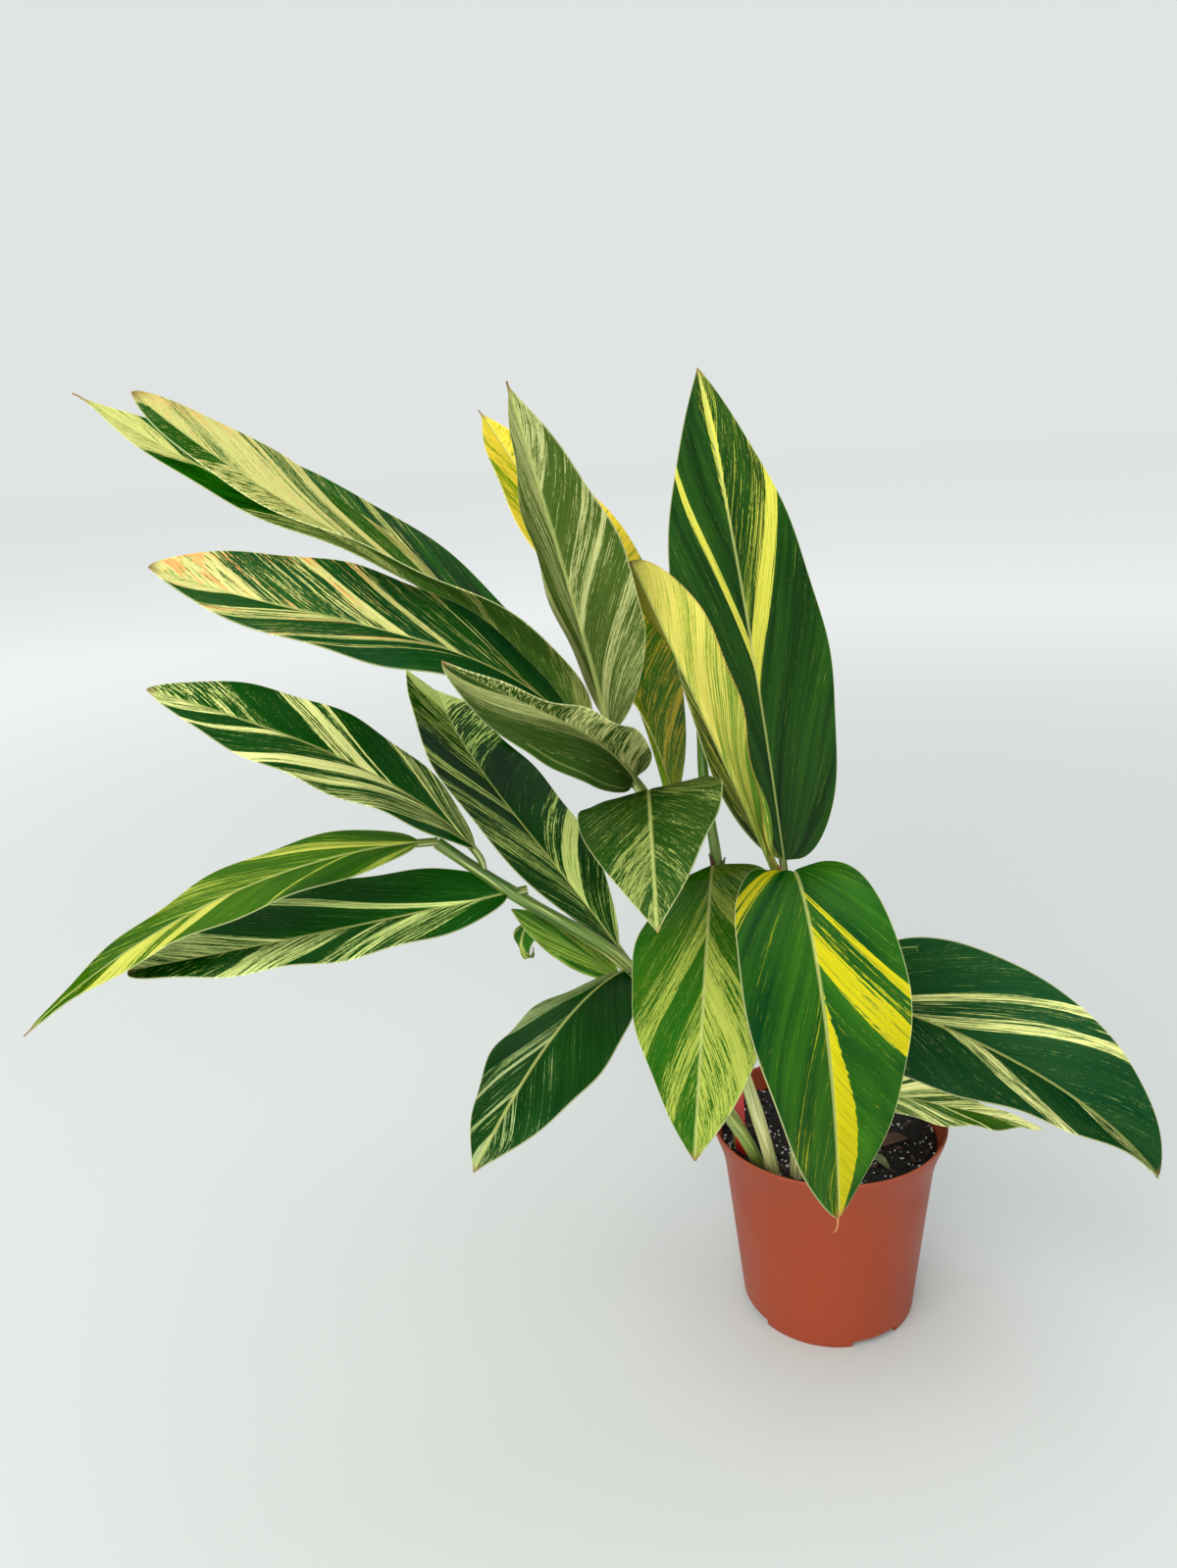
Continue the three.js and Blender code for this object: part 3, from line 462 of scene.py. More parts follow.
# Striped leaf: long pale zones that follow the side veins, broken into fine streaks, over two greens; a satin
# skin with fine parallel veins, a pale midrib and a thin pale margin
def leafMaterial(name, leaf, dry, seed, under):
    material, add = newMaterial(name)
    reading = {key: add("Attribute", attribute_name=key) for key in ("flow", "vein", "rib", "edge", "spine")}
    uv = add("UVMap", uv_map="blade")
    parts = add("SeparateXYZ", {0: uv})
    hand = add("Math", {0: parts.outputs[0], 1: 0.5}, operation="GREATER_THAN")
    flow = reading["flow"].outputs["Vector"]  # centimetres across and along the veins

    def veinNoise(key, finer=1.0):
        across, along, detail, shift, rough = pattern[key]
        place = add("Mapping", {"Vector": flow, "Scale": (across * finer, along * finer, 1),
                                "Location": (shift, seed * 3.1 + shift, seed * 1.7)})
        return add("TexNoise", {"Vector": place, "Scale": 1, "Detail": detail, "Roughness": rough})

    streaks = veinNoise("streaks", leaf["finer"])
    speckle, blotch, fine, wide = [veinNoise(key) for key in ("specks", "blotches", "veins", "clouds")]
    wobble = add("MapRange", {0: blotch, 1: 0.3, 2: 0.7, 3: -pattern["wobble"], 4: pattern["wobble"]})
    place = add("Math", {0: reading["vein"].outputs["Fac"], 1: wobble}, operation="ADD")
    share = add("MapRange", {0: place, 1: pattern["start"], 2: 1})
    halves = []
    for key in ("left", "right"):
        halves.append(add("ValToRGB", {0: share}))
        rampStops(halves[-1], zoneStops(leaf[key]))
    push = add("Mix", {0: hand, 6: halves[0], 7: halves[1]})
    zoned = add("Math", {0: push, 1: pattern["span"], 2: -pattern["span"] / 2}, operation="MULTIPLY_ADD")
    brushed = add("Math", {0: streaks, 1: pattern["gain"], 2: zoned}, operation="MULTIPLY_ADD")
    grit = leaf["speckle"]
    broken = add("Math", {0: speckle, 1: grit, 2: brushed}, operation="MULTIPLY_ADD")
    wedge = add("MapRange", {0: reading["spine"].outputs["Fac"], 1: -0.02, 2: 0.02, 4: leaf["push"]})
    mixed = add("Math", {0: broken, 1: wedge}, operation="ADD")
    level = (pattern["gain"] + grit) / 2
    fringe = add("MapRange", {0: mixed, 1: level + pattern["fringe"][0], 2: level + pattern["fringe"][1]},
                 interpolation_type="SMOOTHSTEP")
    cover = add("MapRange", {0: mixed, 1: level + pattern["cover"][0], 2: level + pattern["cover"][1]},
                interpolation_type="SMOOTHSTEP")
    patches = add("Math", {0: wide, 1: 1.6, 2: blotch}, operation="MULTIPLY_ADD")
    shade = add("MapRange", {0: patches, 1: 0.8, 2: 1.8})
    green = add("Mix", {0: shade, 6: leaf["green"][0], 7: leaf["green"][1]})
    lime = add("Mix", {0: 0.5, 6: leaf["green"][1], 7: leaf["pale"][0]})
    dashes = add("Math", {0: speckle, 1: 0.55, 2: fine}, operation="MULTIPLY_ADD")
    rare = leaf["flecks"]
    flecked = add("MapRange", {0: dashes, 1: rare - 0.03, 2: rare + 0.05, 4: 1.1})
    soft = add("Math", {0: fringe, 1: 0.45, 2: flecked}, operation="MULTIPLY_ADD", use_clamp=True)
    edged = add("Mix", {0: soft, 6: green, 7: lime})
    core = add("Math", {0: fine, 1: 3.5, 2: mixed}, operation="MULTIPLY_ADD")
    tone = add("MapRange", {0: core, 1: level + pattern["middle"][0], 2: level + pattern["middle"][1]})
    pale = add("Mix", {0: tone, 6: leaf["pale"][0], 7: leaf["pale"][1]})
    nearEdge = add("MapRange", {0: reading["edge"].outputs["Fac"], 1: 2, 2: 18, 3: 0.13, 4: 0})
    warmPlace = add("Math", {0: nearEdge, 1: hand, 2: veinNoise("warmth")}, operation="MULTIPLY_ADD")
    warmth = add("MapRange", {0: warmPlace, 1: 0.57, 2: 0.68, 4: leaf["blush"]})
    warm = add("Mix", {0: warmth, 6: pale, 7: pattern["warm"]})
    striped = add("Mix", {0: cover, 6: edged, 7: warm})
    lines = add("MapRange", {0: fine, 1: 0.3, 2: 0.7, 3: 0.8, 4: 1.16})
    veined = add("VectorMath", {0: striped, 3: lines}, operation="SCALE")
    ribShare = add("MapRange", {0: reading["rib"].outputs["Fac"], 1: 0.5, 2: 1.7, 3: 0.65, 4: 0})
    ribbed = add("Mix", {0: ribShare, 6: veined, 7: leaf["rib"]})
    edgeShare = add("MapRange", {0: reading["edge"].outputs["Fac"], 1: 0.25, 2: 0.7, 3: 0.5, 4: 0})
    rimmed = add("Mix", {0: edgeShare, 6: ribbed, 7: leaf["margin"]})
    dryShare = add("MapRange", {0: parts.outputs[1], 1: dry[0], 2: dry[1], 4: 0.9})
    dried = add("Mix", {0: dryShare, 6: rimmed, 7: leaf["dry"]})
    dulled = add("Mix", {0: leaf["dull"] if under else 0.0, 6: dried, 7: pattern["underside"]})
    gloss = add("MapRange", {0: streaks, 1: 0.3, 2: 0.7, 3: 0.55 if under else 0.38, 4: 0.66 if under else 0.5})
    pleats = add("Bump", {"Strength": 0.6, "Distance": 0.0012, "Height": veinNoise("pleats")})
    relief = add("Bump", {"Strength": 0.5, "Distance": 0.00018, "Height": fine, "Normal": pleats})
    facing = add("LayerWeight", {"Blend": 0.5})
    sheen = add("MapRange", {0: facing.outputs["Facing"], 1: 0.15, 2: 0.65, 3: 0.2, 4: 0})
    shader = add("BsdfPrincipled", {"Base Color": dulled, "Roughness": gloss, "Normal": relief,
                                    "Specular IOR Level": sheen, "Specular Tint": pattern["sheen"]})
    add("OutputMaterial", {"Surface": shader})
    return material


bladeColumns = np.linspace(-1, 1, blade["columns"] + 1)
bladeColumns = np.sign(bladeColumns) * np.abs(bladeColumns) ** blade["gather"]


def makeBlade(name, leaf, seed):
    places, half, u, reach, hand = leafPlaces(leaf, bladeColumns)
    order = np.linspace(0, 1, len(u))
    uv = np.stack(np.meshgrid((bladeColumns + 1) / 2, order), -1)
    piece, row, column = addGrid(name, places * mm, uv)
    vein = veinPlaces(leaf, u, reach, hand)
    across = vein * leaf["length"] / 10
    along = np.broadcast_to(reach * leaf["width"] / 20, vein.shape)
    apart = np.broadcast_to(hand * 4.0, vein.shape)  # so that the halves differ
    for key, values in (("flow", np.stack([across, along, apart], -1)), ("vein", vein),
                        ("spine", spinePlaces(leaf, u, reach, hand)), ("rib", reach * half[:, None]),
                        ("edge", (1 - reach) * half[:, None])):
        addAttribute(piece, key, values[row, column])
    rib = np.exp(-(reach * half[:, None] / blade["ribReach"]) ** 2)
    ribThickness = blade["stalkThickness"] * (1 - blade["ribTaper"] * u[:, None])
    thick = blade["thickness"] + (ribThickness - blade["thickness"]) * rib
    group = piece.vertex_groups.new(name="thick")
    for index, weight in enumerate((thick / blade["stalkThickness"])[row, column]):
        group.add([index], float(weight), "REPLACE")
    dry = [float(np.interp(share, u, order)) for share in (blade["dryStart"], 1)]
    for under, title in enumerate(("striped leaf ", "leaf underside ")):
        piece.data.materials.append(leafMaterial(title + name, leaf, dry, seed, under))
    applyModifier(piece, "thickness", "SOLIDIFY", thickness=blade["stalkThickness"] * mm, offset=-1,
                  vertex_group="thick", material_offset=1)
    return piece


for seed, (node, row) in enumerate(leafRows.items()):
    leaf = {**usual, **dict(zip(leafColumns, row)), **leafExtras.get(node, {})}
    piece = makeBlade("striped_" + node, leaf, seed)
    finishPiece(piece, "leaf", node)
print("leaves made:", len(leafRows))

# Canes: leaf sheaths rolled round each other, each ending where its leaf leaves
cane = {"around": 26, "step": 4.0, "curveSteps": 60, "buried": 42, "footLean": 0.1, "nodeSwell": 1.12,
        "nodeSpacing": 66, "swellReach": 22, "wrapRise": 150, "wrapShift": 0.37, "wrapStep": 0.35, "wrapSink": 0.15,
        "hemPlace": 0.03, "hemReach": 0.035, "hemShare": 0.55, "stripes": (4.5, 0.14, 1), "scuffs": (2.4, 1.1, 1),
        "dark": "#5f8232", "light": "#cfd0a0", "scuff": "#6f4f2c", "hem": "#7a5232"}
caneShapes = {
    "cane_left": {"thickness": (9.5, 12, 8), "low": "#8a9c4a", "high": "#55742c", "dark": "#22491a",
        "light": "#b9bf74", "points": [(-64, -40, 154), (-110, -50, 250), (-162, -55, 345), (-238, -60, 407),
                                       (-294, -60, 453)]},
    "cane_middle": {"thickness": (10, 10, 8), "low": "#cfc98e", "high": "#93a850", "light": "#c4c990",
        "points": [(-54, -50, 154), (-94, -39, 308), (-139, -20, 462), (-161, -7, 492)]},
    "cane_back": {"thickness": (11, 9, 7), "low": "#a9b36b", "high": "#4f7f22", "dark": "#3f6c1c",
        "light": "#86a548", "points": [(-75, -6, 154), (-80, -4, 290), (-87, 0, 406), (-94, 10, 470),
                                       (-94, 20, 508)]},
    "cane_front": {"thickness": (13, 11, 9), "low": "#d0c894", "high": "#9aab58",
        "points": [(-35, -54, 154), (-36, -57, 280), (-42, -60, 402)]},
    "cane_right": {"thickness": (12, 10, 8), "low": "#b9b878", "high": "#7f9a42", "light": "#b4bc7c",
        "points": [(14, -15, 154), (15, -18, 220), (13, -25, 298)]},
}
# The short sheath of the left cane, made as a small blade
sheath = {"root": (-157, -61, 331), "length": 112, "width": 28, "heading": 184, "climb": 39, "droop": 0,
          "straighten": 0, "sway": 0, "roll": 60, "twist": 0, "fold": (-8, -30), "full": (0.6, 0.8), "seed": 31,
          "green": ("#194810", "#3c6a1c"), "pale": ("#7c9c2e", "#bcc85c"), "vein": (0.9, 0.9), "rib": "#6f8f3c",
          "left": (0.35, 0.1, 0.15, 0.2, 0.5, 0.4, 0.2), "right": (0.4, 0, 0.1)}

scaleShape = {"sides": 16, "foot": 3.4, "tip": 0.9, "flat": 0.55}
# Brown papery scales beside the leaf stalks: foot, length, lean to the left and forwards in degrees, colours
scales = {"cane_back": [((-90, -3, 401), 11, 16, 4, ("#4a2a20", "#7a4a38")),
                        ((-83, -3, 400), 8, -18, 0, ("#4b4a3a", "#77765c"))],
          "cane_front": [((-43, -64, 408), 18, 30, 6, ("#8a4a30", "#c08058"))]}


# Smooth curve through the points, with its buried foot, as evenly spaced places
def canePath(points):
    points = [Vector(p) for p in points]
    lean = points[1] - points[0]
    foot = points[0] - Vector((lean.x, lean.y, 0)) * cane["footLean"] * cane["buried"] / lean.z
    foot.z = points[0].z - cane["buried"]
    points = [foot] + points
    ends = [2 * points[0] - points[1]] + points + [2 * points[-1] - points[-2]]
    path = []
    for k in range(1, len(ends) - 2):
        a, b, c, d = ends[k - 1:k + 3]
        before, here, after = ((b - a).length ** 0.5, (c - b).length ** 0.5, (d - c).length ** 0.5)
        tangentB = ((b - a) / before - (c - a) / (before + here) + (c - b) / here) * here
        tangentC = ((c - b) / here - (d - b) / (here + after) + (d - c) / after) * here
        for t in np.linspace(0, 1, cane["curveSteps"], endpoint=False):
            path.append(b * (2 * t ** 3 - 3 * t ** 2 + 1) + tangentB * (t ** 3 - 2 * t ** 2 + t)
                        + c * (-2 * t ** 3 + 3 * t ** 2) + tangentC * (t ** 3 - t ** 2))
    path = np.array(path + [points[-1]])
    reach = np.concatenate([[0], np.cumsum(np.linalg.norm(np.diff(path, axis=0), axis=1))])
    rows = int(reach[-1] / cane["step"])
    at = np.linspace(0, reach[-1], rows + 1)
    return np.stack([np.interp(at, reach, path[:, k]) for k in range(3)], -1), at


# Fresh stem: pale and a little yellow at the foot, greener above, with fine lengthwise lines, brown scuffs and a
# dry brown line at each sheath's edge
def caneMaterial(name, shape, length, seed):
    material, add = newMaterial(name)
    flow = add("Attribute", attribute_name="flow").outputs["Vector"]
    parts = add("SeparateXYZ", {0: flow})
    share = add("MapRange", {0: parts.outputs[1], 1: cane["buried"] / 10, 2: length / 10})
    stripePlace = add("Mapping", {"Vector": flow, "Scale": cane["stripes"], "Location": (seed, 0, 0)})
    stripes = add("TexNoise", {"Vector": stripePlace, "Scale": 1, "Detail": 3})
    scuffPlace = add("Mapping", {"Vector": flow, "Scale": cane["scuffs"], "Location": (seed, 9, 0)})
    scuffs = add("TexNoise", {"Vector": scuffPlace, "Scale": 1, "Detail": 5, "Roughness": 0.7})
    body = add("Mix", {0: share, 6: shape["low"], 7: shape["high"]})
    stripeShare = add("MapRange", {0: stripes, 1: 0.48, 2: 0.6, 4: 0.8})
    shaded = add("Mix", {0: stripeShare, 6: body, 7: shape.get("dark", cane["dark"])})
    lightShare = add("MapRange", {0: stripes, 1: 0.44, 2: 0.36, 4: 0.8})
    striped = add("Mix", {0: lightShare, 6: shaded, 7: shape.get("light", cane["light"])})
    scuffShare = add("MapRange", {0: scuffs, 1: 0.64, 2: 0.74, 4: 0.6})
    scuffed = add("Mix", {0: scuffShare, 6: striped, 7: cane["scuff"]})
    hem = add("Attribute", attribute_name="hem")
    hemmed = add("Mix", {0: hem.outputs["Fac"], 6: scuffed, 7: cane["hem"]})
    relief = add("Bump", {"Strength": 0.5, "Distance": 0.0002, "Height": stripes})
    shader = add("BsdfPrincipled", {"Base Color": hemmed, "Roughness": 0.46, "Normal": relief})
    add("OutputMaterial", {"Surface": shader})
    return material


def makeCane(node, shape, seed):
    path, at = canePath(shape["points"])
    ahead = unit(np.gradient(path, axis=0))
    side = unit(np.cross(ahead, [0.0, 1.0, 0.0]))
    away = np.cross(ahead, side)
    t = at / at[-1]
    low, middle, high = shape["thickness"]
    thickness = np.where(t < 0.5, low + (middle - low) * 2 * t, middle + (high - middle) * (2 * t - 1))
    beat = np.maximum(0, 1 - np.abs(at % cane["nodeSpacing"] - cane["nodeSpacing"] / 2) / cane["swellReach"])
    radius = thickness / 2 * (1 + (cane["nodeSwell"] - 1) * beat)
    angle = np.linspace(0, 2 * np.pi, cane["around"] + 1)
    # each sheath's free edge winds up the cane as a low step
    turnShare = (angle[None, :] / (2 * np.pi) + at[:, None] / cane["wrapRise"] + seed * cane["wrapShift"]) % 1
    step = cane["wrapStep"] * smooth((turnShare - 0.06) / 0.9) - cane["wrapSink"]
    ring = side[:, None] * np.cos(angle)[None, :, None] + away[:, None] * np.sin(angle)[None, :, None]
    places = path[:, None] + ring * (radius[:, None] + step)[..., None]
    piece, row, column = addGrid("stem_" + node, places * mm)
    arc = angle[None, :] * radius[:, None] / 10
    climb = np.broadcast_to(at[:, None] / 10, arc.shape)
    addAttribute(piece, "flow", np.stack([arc, climb, 0 * arc], -1)[row, column])
    hem = np.clip(1 - np.abs(turnShare - cane["hemPlace"]) / cane["hemReach"], 0, 1) * cane["hemShare"]
    addAttribute(piece, "hem", hem[row, column])
    piece.data.materials.append(caneMaterial("fresh stem " + node, shape, at[-1], seed))
    weldPiece(piece, 0.00002, close=True)
    return piece


def addScale(foot, length, left, forward, colours):
    tilt = Vector((-math.sin(math.radians(left)), -math.sin(math.radians(forward)), 1)).normalized()
    bpy.ops.object.select_all(action="DESELECT")
    bpy.ops.mesh.primitive_cone_add(
        vertices=scaleShape["sides"], radius1=scaleShape["foot"] * mm, radius2=scaleShape["tip"] * mm,
        depth=length * mm, location=(Vector(foot) + tilt * length / 2) * mm,
        rotation=tilt.to_track_quat("Z", "Y").to_euler())
    made = bpy.context.object
    made.scale = (1, scaleShape["flat"], 1)
    bpy.ops.object.transform_apply(location=True, rotation=True, scale=True)
    made.data.materials.append(grainMaterial("dried scale", colours, 0.7, 400.0, 0.0002))
    return made


for seed, (node, shape) in enumerate(caneShapes.items()):
    parts = [makeCane(node, shape, seed)] + [addScale(*scale) for scale in scales.get(node, [])]
    if node == "cane_left":
        parts.append(makeBlade("sheath_blade", {**usual, **sheath}, sheath["seed"]))
    piece = joinPieces("stem_" + node, parts) if len(parts) > 1 else parts[0]
    finishPiece(piece, "cane", node)
print("canes made:", len(caneShapes))

# Pot: thin moulded plastic, flared at the rim, on a foot ring with gaps
pot = {"outline": [(71.5, 0), (72.4, 7), (84.4, 120), (86.2, 136), (89, 148), (92.4, 158), (95.6, 167),
                   (96.5, 171.4)],
       "outerRings": (1, 7, 7.4, 60, 90, 110, 120, 128, 136, 142, 148, 153, 158, 163, 167, 170),
       "innerRings": (169, 165, 158, 150, 142, 136, 120, 60, 14), "wall": 2.2, "footHeight": 7, "footWidth": 4,
       "floor": 2.5, "pad": 14, "sides": 128, "gaps": [(-69, 34), (-166, 42), (111, 34), (21, 34)],
       "gapDepth": 14, "gapHeight": 12, "gapPlace": 0.975, "drains": 8, "drainRadius": 5, "drainCircle": 50,
       # the last colour on the next line is a painted highlight for the top edge of the rim
       "colour": "#8e391c", "clouded": "#8b341a", "dust": "#7c4a34", "rimHighlight": "#a85232"}


def potRadius(height):
    radii, heights = zip(*pot["outline"])
    return float(np.interp(height, heights, radii))


def makePot():
    floorTop = pot["footHeight"] + pot["floor"]
    rim, top = pot["outline"][-1]
    foot, pad, ceiling = pot["outline"][0][0], pot["pad"], pot["footHeight"]
    ledge = foot - pot["footWidth"]
    corner = potRadius(floorTop) - pot["wall"]
    profile = [(0, 0), (pad - 0.6, 0), (pad, 0.5), (pad + 1, ceiling), (ledge, ceiling), (ledge, 0.5),
               (ledge + 0.5, 0), (foot - 0.6, 0)]
    profile += [(potRadius(z), z) for z in pot["outerRings"]]
    profile += [(rim + 0.05, top - 0.5), (rim - 0.2, top + 0.2), (rim - 0.9, top + 0.6), (rim - 1.6, top + 0.4),
                (rim - 2.1, top - 0.4)]
    profile += [(potRadius(z) - pot["wall"], z) for z in pot["innerRings"]]
    profile += [(corner - 1.2, floorTop + 0.8), (corner - 3, floorTop), (0, floorTop)]
    bpy.ops.object.select_all(action="DESELECT")
    bpy.ops.mesh.primitive_circle_add(vertices=3, radius=0.01)
    piece = bpy.context.object
    piece.name = "plastic_pot"
    bpy.ops.object.mode_set(mode="EDIT")
    bpy.ops.mesh.delete(type="VERT")
    bpy.ops.object.mode_set(mode="OBJECT")
    mesh = piece.data
    mesh.vertices.add(len(profile))
    mesh.vertices.foreach_set("co", [c for r, z in profile for c in (r * mm, 0, z * mm)])
    mesh.edges.add(len(profile) - 1)
    mesh.edges.foreach_set("vertices", [k for first in range(len(profile) - 1) for k in (first, first + 1)])
    mesh.update()
    select(piece)
    bpy.ops.object.mode_set(mode="EDIT")
    bpy.ops.mesh.select_all(action="SELECT")
    bpy.ops.mesh.spin(steps=pot["sides"], angle=2 * math.pi, center=(0, 0, 0), axis=(0, 0, 1))
    bpy.ops.object.mode_set(mode="OBJECT")
    weldPiece(piece, 0.00001)
    cutters = []
    for middle, spread in pot["gaps"]:
        width = 2 * foot * math.sin(math.radians(spread / 2))
        bpy.ops.mesh.primitive_cube_add(size=1)
        cutters.append(bpy.context.object)
        cutters[-1].scale = (pot["gapDepth"] * mm, width * mm, pot["gapHeight"] * mm)
        angle = math.radians(middle)
        cutters[-1].location = (foot * mm * math.cos(angle) * pot["gapPlace"],
                                foot * mm * math.sin(angle) * pot["gapPlace"], 0)
        cutters[-1].rotation_euler = (0, 0, angle)
    for k in range(pot["drains"]):
        angle = (k + 0.5) * 2 * math.pi / pot["drains"]
        place = (pot["drainCircle"] * mm * math.cos(angle), pot["drainCircle"] * mm * math.sin(angle),
                 pot["footHeight"] * mm)
        bpy.ops.mesh.primitive_cylinder_add(vertices=24, radius=pot["drainRadius"] * mm, depth=10 * mm,
                                            location=place)
        cutters.append(bpy.context.object)
    cutter = joinPieces("pot_cutter", cutters)
    select(cutter)
    bpy.ops.object.transform_apply(location=True, rotation=True, scale=True)
    applyModifier(piece, "cuts", "BOOLEAN", operation="DIFFERENCE", object=cutter, solver="EXACT")
    bpy.data.objects.remove(cutter)
    return piece


# Polypropylene, injection moulded: an even satin skin with a faint orange-peel, paler dust specks near the foot, and
# a painted highlight along the top edge of the rim
def potMaterial():
    material, add = newMaterial("moulded polypropylene")
    place = add("TexCoord").outputs["Object"]
    parts = add("SeparateXYZ", {0: place})
    cloud = add("TexNoise", {"Vector": place, "Scale": 18, "Detail": 3})
    peel = add("TexNoise", {"Vector": place, "Scale": 900, "Detail": 2})
    dust = add("TexNoise", {"Vector": place, "Scale": 260, "Detail": 3, "Roughness": 0.7})
    cloudShare = add("MapRange", {0: cloud, 1: 0.35, 2: 0.7, 4: 0.35})
    body = add("Mix", {0: cloudShare, 6: pot["colour"], 7: pot["clouded"]})
    nearFoot = add("MapRange", {0: parts.outputs[2], 1: 0, 2: 0.05, 3: 1, 4: 0.35})
    grit = add("MapRange", {0: dust, 1: 0.66, 2: 0.76})
    gritShare = add("Math", {0: nearFoot, 1: grit}, operation="MULTIPLY")
    dusty = add("Mix", {0: gritShare, 6: body, 7: pot["dust"]})
    # painted highlight: the top edge of the rim lip is painted paler, as where light catches it
    rimHighlightShare = add("MapRange", {0: parts.outputs[2], 1: 0.1695, 2: 0.172, 4: 0.5})
    rimHighlight = add("Mix", {0: rimHighlightShare, 6: dusty, 7: pot["rimHighlight"]})
    gloss = add("MapRange", {0: cloud, 1: 0.3, 2: 0.7, 3: 0.4, 4: 0.52})
    relief = add("Bump", {"Strength": 0.25, "Distance": 0.0001, "Height": peel})
    shader = add("BsdfPrincipled", {"Base Color": rimHighlight, "Roughness": gloss, "Normal": relief,
                                    "Specular IOR Level": 0.3})
    add("OutputMaterial", {"Surface": shader})
    return material


potPiece = makePot()
potPiece.data.materials.clear()
potPiece.data.materials.append(potMaterial())
finishPiece(potPiece, "pot", "pot", angle=30)
print("pot made")

# Soil: a crumbled top with white perlite and bits of bark, over a plain fill down to the pot's floor
soil = {"height": 154, "relief": 1.6, "lumps": 1.5, "grit": 0.9, "edgeDrop": 1.2, "edgeReach": 4, "gap": 0.4,
        "fillRings": (40, 80, 120, 136, 146, 151), "rings": 64, "around": 150,
        "grains": [  # name, count, sizes, stretch, how far it stands out, seed
            ("crumbs", 1000, (0.9, 3.2), 1.0, 0.1, 11),
            ("bark", 60, (1.5, 3.4), 2.2, 0.35, 12),
            ("perlite", 420, (0.5, 1.9), 1.0, 0.55, 13)]}


def soilTop(x, y):
    bumps = math.sin(x / 11 + 1) * math.cos(y / 13) + 0.6 * math.sin(x / 5.3 + y / 6.1)
    return soil["height"] + soil["relief"] * bumps


def makeSoil():
    edge = potRadius(soil["height"]) - pot["wall"] - soil["gap"]
    bottom = pot["footHeight"] + pot["floor"] + soil["gap"]
    radii = [0.0, 30.0, potRadius(bottom) - pot["wall"] - 3.5]
    heights = [bottom] * 3
    for z in (bottom + 6, *soil["fillRings"]):
        radii.append(potRadius(z) - pot["wall"] - soil["gap"])
        heights.append(z)
    tops = list(np.linspace(edge, 0, soil["rings"]))
    angles = np.linspace(0, 2 * np.pi, soil["around"] + 1)
    places = np.zeros((len(radii) + len(tops), len(angles), 3))
    for row, radius in enumerate(radii + tops):
        for column, angle in enumerate(angles):
            x, y = radius * math.cos(angle), radius * math.sin(angle)
            if row < len(radii):
                z = heights[row]
            else:
                spot = Vector((x, y, 0))
                z = soilTop(x, y) + soil["lumps"] * noise.fractal(spot / 5, 0.7, 2.1, 4)
                z += soil["grit"] * noise.noise(spot / 1.7)
                z -= soil["edgeDrop"] * max(0, (radius - edge + soil["edgeReach"]) / soil["edgeReach"])
            places[row, column] = (x, y, z)
    piece, _, _ = addGrid("potting_mix", places * mm)
    weldPiece(piece, 0.00002)
    return piece


# Grains strewn over the soil as one mesh, each a small rough stone shape, squashed and turned
def addGrains(name, count, sizes, stretch, sink, seed, material):
    rng = random.Random(seed)
    bpy.ops.object.select_all(action="DESELECT")
    bpy.ops.mesh.primitive_ico_sphere_add(subdivisions=1, radius=1)
    model = bpy.context.object
    shape = np.array([v.co[:] for v in model.data.vertices])
    faces = np.array([p.vertices[:] for p in model.data.polygons])
    bpy.data.objects.remove(model)
    points, triangles = [], []
    edge = potRadius(soil["height"]) - pot["wall"] - 2
    for k in range(count):
        radius, angle = edge * math.sqrt(rng.random()), rng.random() * 2 * math.pi
        x, y = radius * math.cos(angle), radius * math.sin(angle)
        size = rng.uniform(*sizes) * (0.6 + 0.4 * rng.random())
        squash = np.array([rng.uniform(0.7, 1.0) * stretch, rng.uniform(0.6, 1.0), rng.uniform(0.5, 0.9)])
        rough = shape * squash * np.array([[1 + rng.uniform(-0.22, 0.22)] for _ in shape]) * size
        turned = rough @ np.array(Matrix.Rotation(rng.uniform(0, 6.3), 3, "Z") @ Matrix.Rotation(
            rng.uniform(-0.5, 0.5), 3, "X"))
        triangles.append(faces + len(shape) * k)
        points.append(turned + np.array([x, y, soilTop(x, y) + size * sink]))
    mesh = bpy.data.meshes.new(name)
    mesh.from_pydata((np.vstack(points) * mm).tolist(), [], np.vstack(triangles).tolist())
    grains = bpy.data.objects.new(name, mesh)
    bpy.context.collection.objects.link(grains)
    mesh.materials.append(material)
    return grains


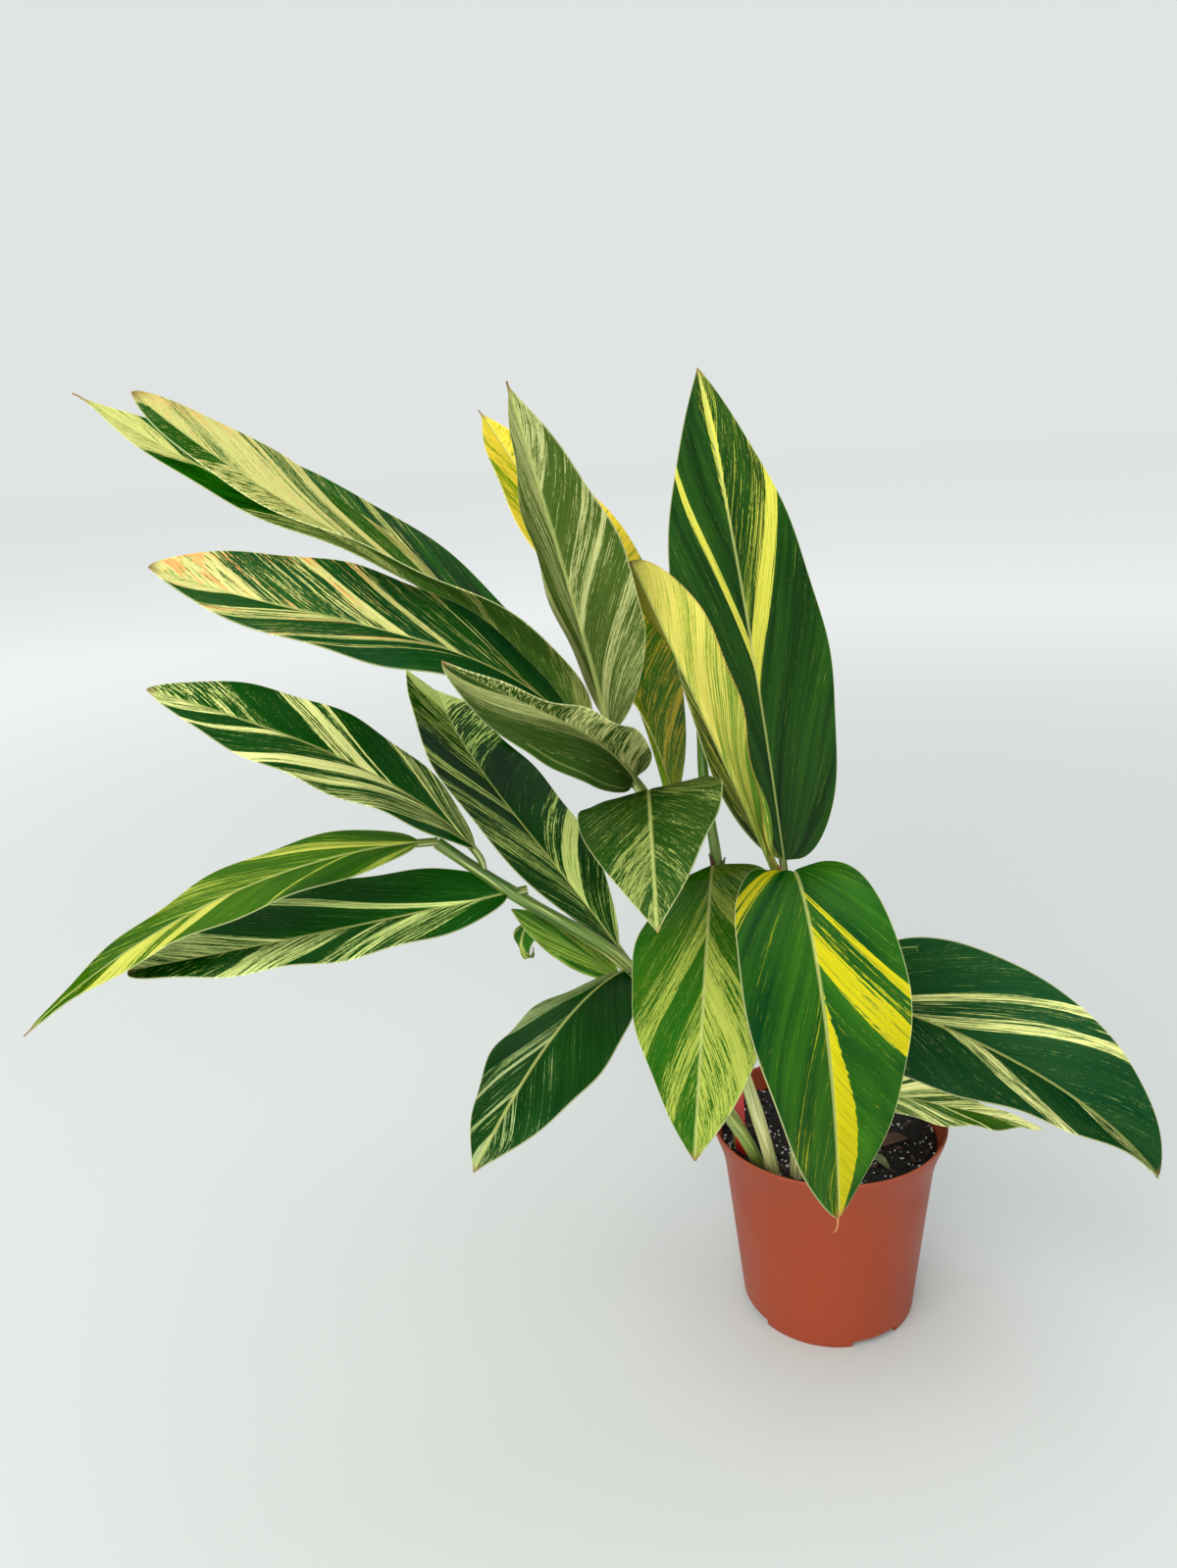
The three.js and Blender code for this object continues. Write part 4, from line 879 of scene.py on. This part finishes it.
# Peat and compost, damp: near black and rough, with browner crumbs, red-brown bark and chalky white perlite
mixMaterial = grainMaterial("damp potting mix", ("#070605", "#1a1410"), 0.95, 160.0, 0.0006)
crumbMaterial = grainMaterial("compost crumbs", ("#0c0907", "#2a2019"), 0.9, 300.0, 0.0004)
barkMaterial = grainMaterial("bark chips", ("#2c1c13", "#5a3d29"), 0.8, 400.0, 0.0004)
perliteMaterial = grainMaterial("puffed perlite", ("#c9c9c2", "#f0f0ea"), 0.75, 500.0, 0.0003)
soilParts = [makeSoil()]
soilParts[0].data.materials.append(mixMaterial)
for row, material in zip(soil["grains"], (crumbMaterial, barkMaterial, perliteMaterial)):
    soilParts.append(addGrains(*row, material))
    soilParts[-1].data.uv_layers.new(name="UVMap")
finishPiece(joinPieces("potting_mix", soilParts), "soil", "soil", angle=25)
print("soil made")

# The label, a polystyrene strip: an even red with a slight gloss
labelMaterial = grainMaterial("plain plastic label", ("#b3241f", "#c22e26"), 0.38, 40.0, 0.00002)
frame["nodes"]["label"].data.materials.clear()
frame["nodes"]["label"].data.materials.append(labelMaterial)

# The old leaf bits on the soil
scraps = {
    "dry_leaf_scrap": {"length": 24, "width": 13, "turn": 20, "lift": 4, "colours": ("#3a2318", "#6b4630")},
    "old_sheath_scrap": {"length": 22, "width": 8, "turn": -55, "lift": 5, "colours": ("#4d5636", "#7d8458")},
}
scrapMesh = {"along": 25, "across": 9, "thickness": 0.5}
slots = {row["node"]: row["material_slot"] for row in frame["record"]["subparts"]}
for node, scrap in scraps.items():
    low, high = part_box(node)
    centre = (low + high) / 2
    along = np.linspace(-0.5, 0.5, scrapMesh["along"])
    across = np.linspace(-1, 1, scrapMesh["across"])
    a, c = np.meshgrid(along, across, indexing="ij")
    half = scrap["width"] / 2 * np.sqrt(1.05 - 4 * a ** 2)
    curl = 0.5 * np.sin(9 * a + 1) * c + 0.5 * c ** 2
    places = np.stack([a * scrap["length"], c * half, scrap["lift"] * (1 - 4 * a ** 2) + curl + 0.5], -1)
    spin = np.array(Matrix.Rotation(math.radians(scrap["turn"]), 3, "Z"))
    places = places @ spin.T + np.array([centre.x, centre.y, low.z]) / mm
    piece, _, _ = addGrid("withered_" + node, places * mm)
    # dull, papery and finely grained
    piece.data.materials.append(grainMaterial("withered leaf " + node, scrap["colours"], 0.8, 500.0, 0.0003))
    applyModifier(piece, "thickness", "SOLIDIFY", thickness=scrapMesh["thickness"] * mm, offset=0)
    finishPiece(piece, slots[node], node)
print("label and scraps made")
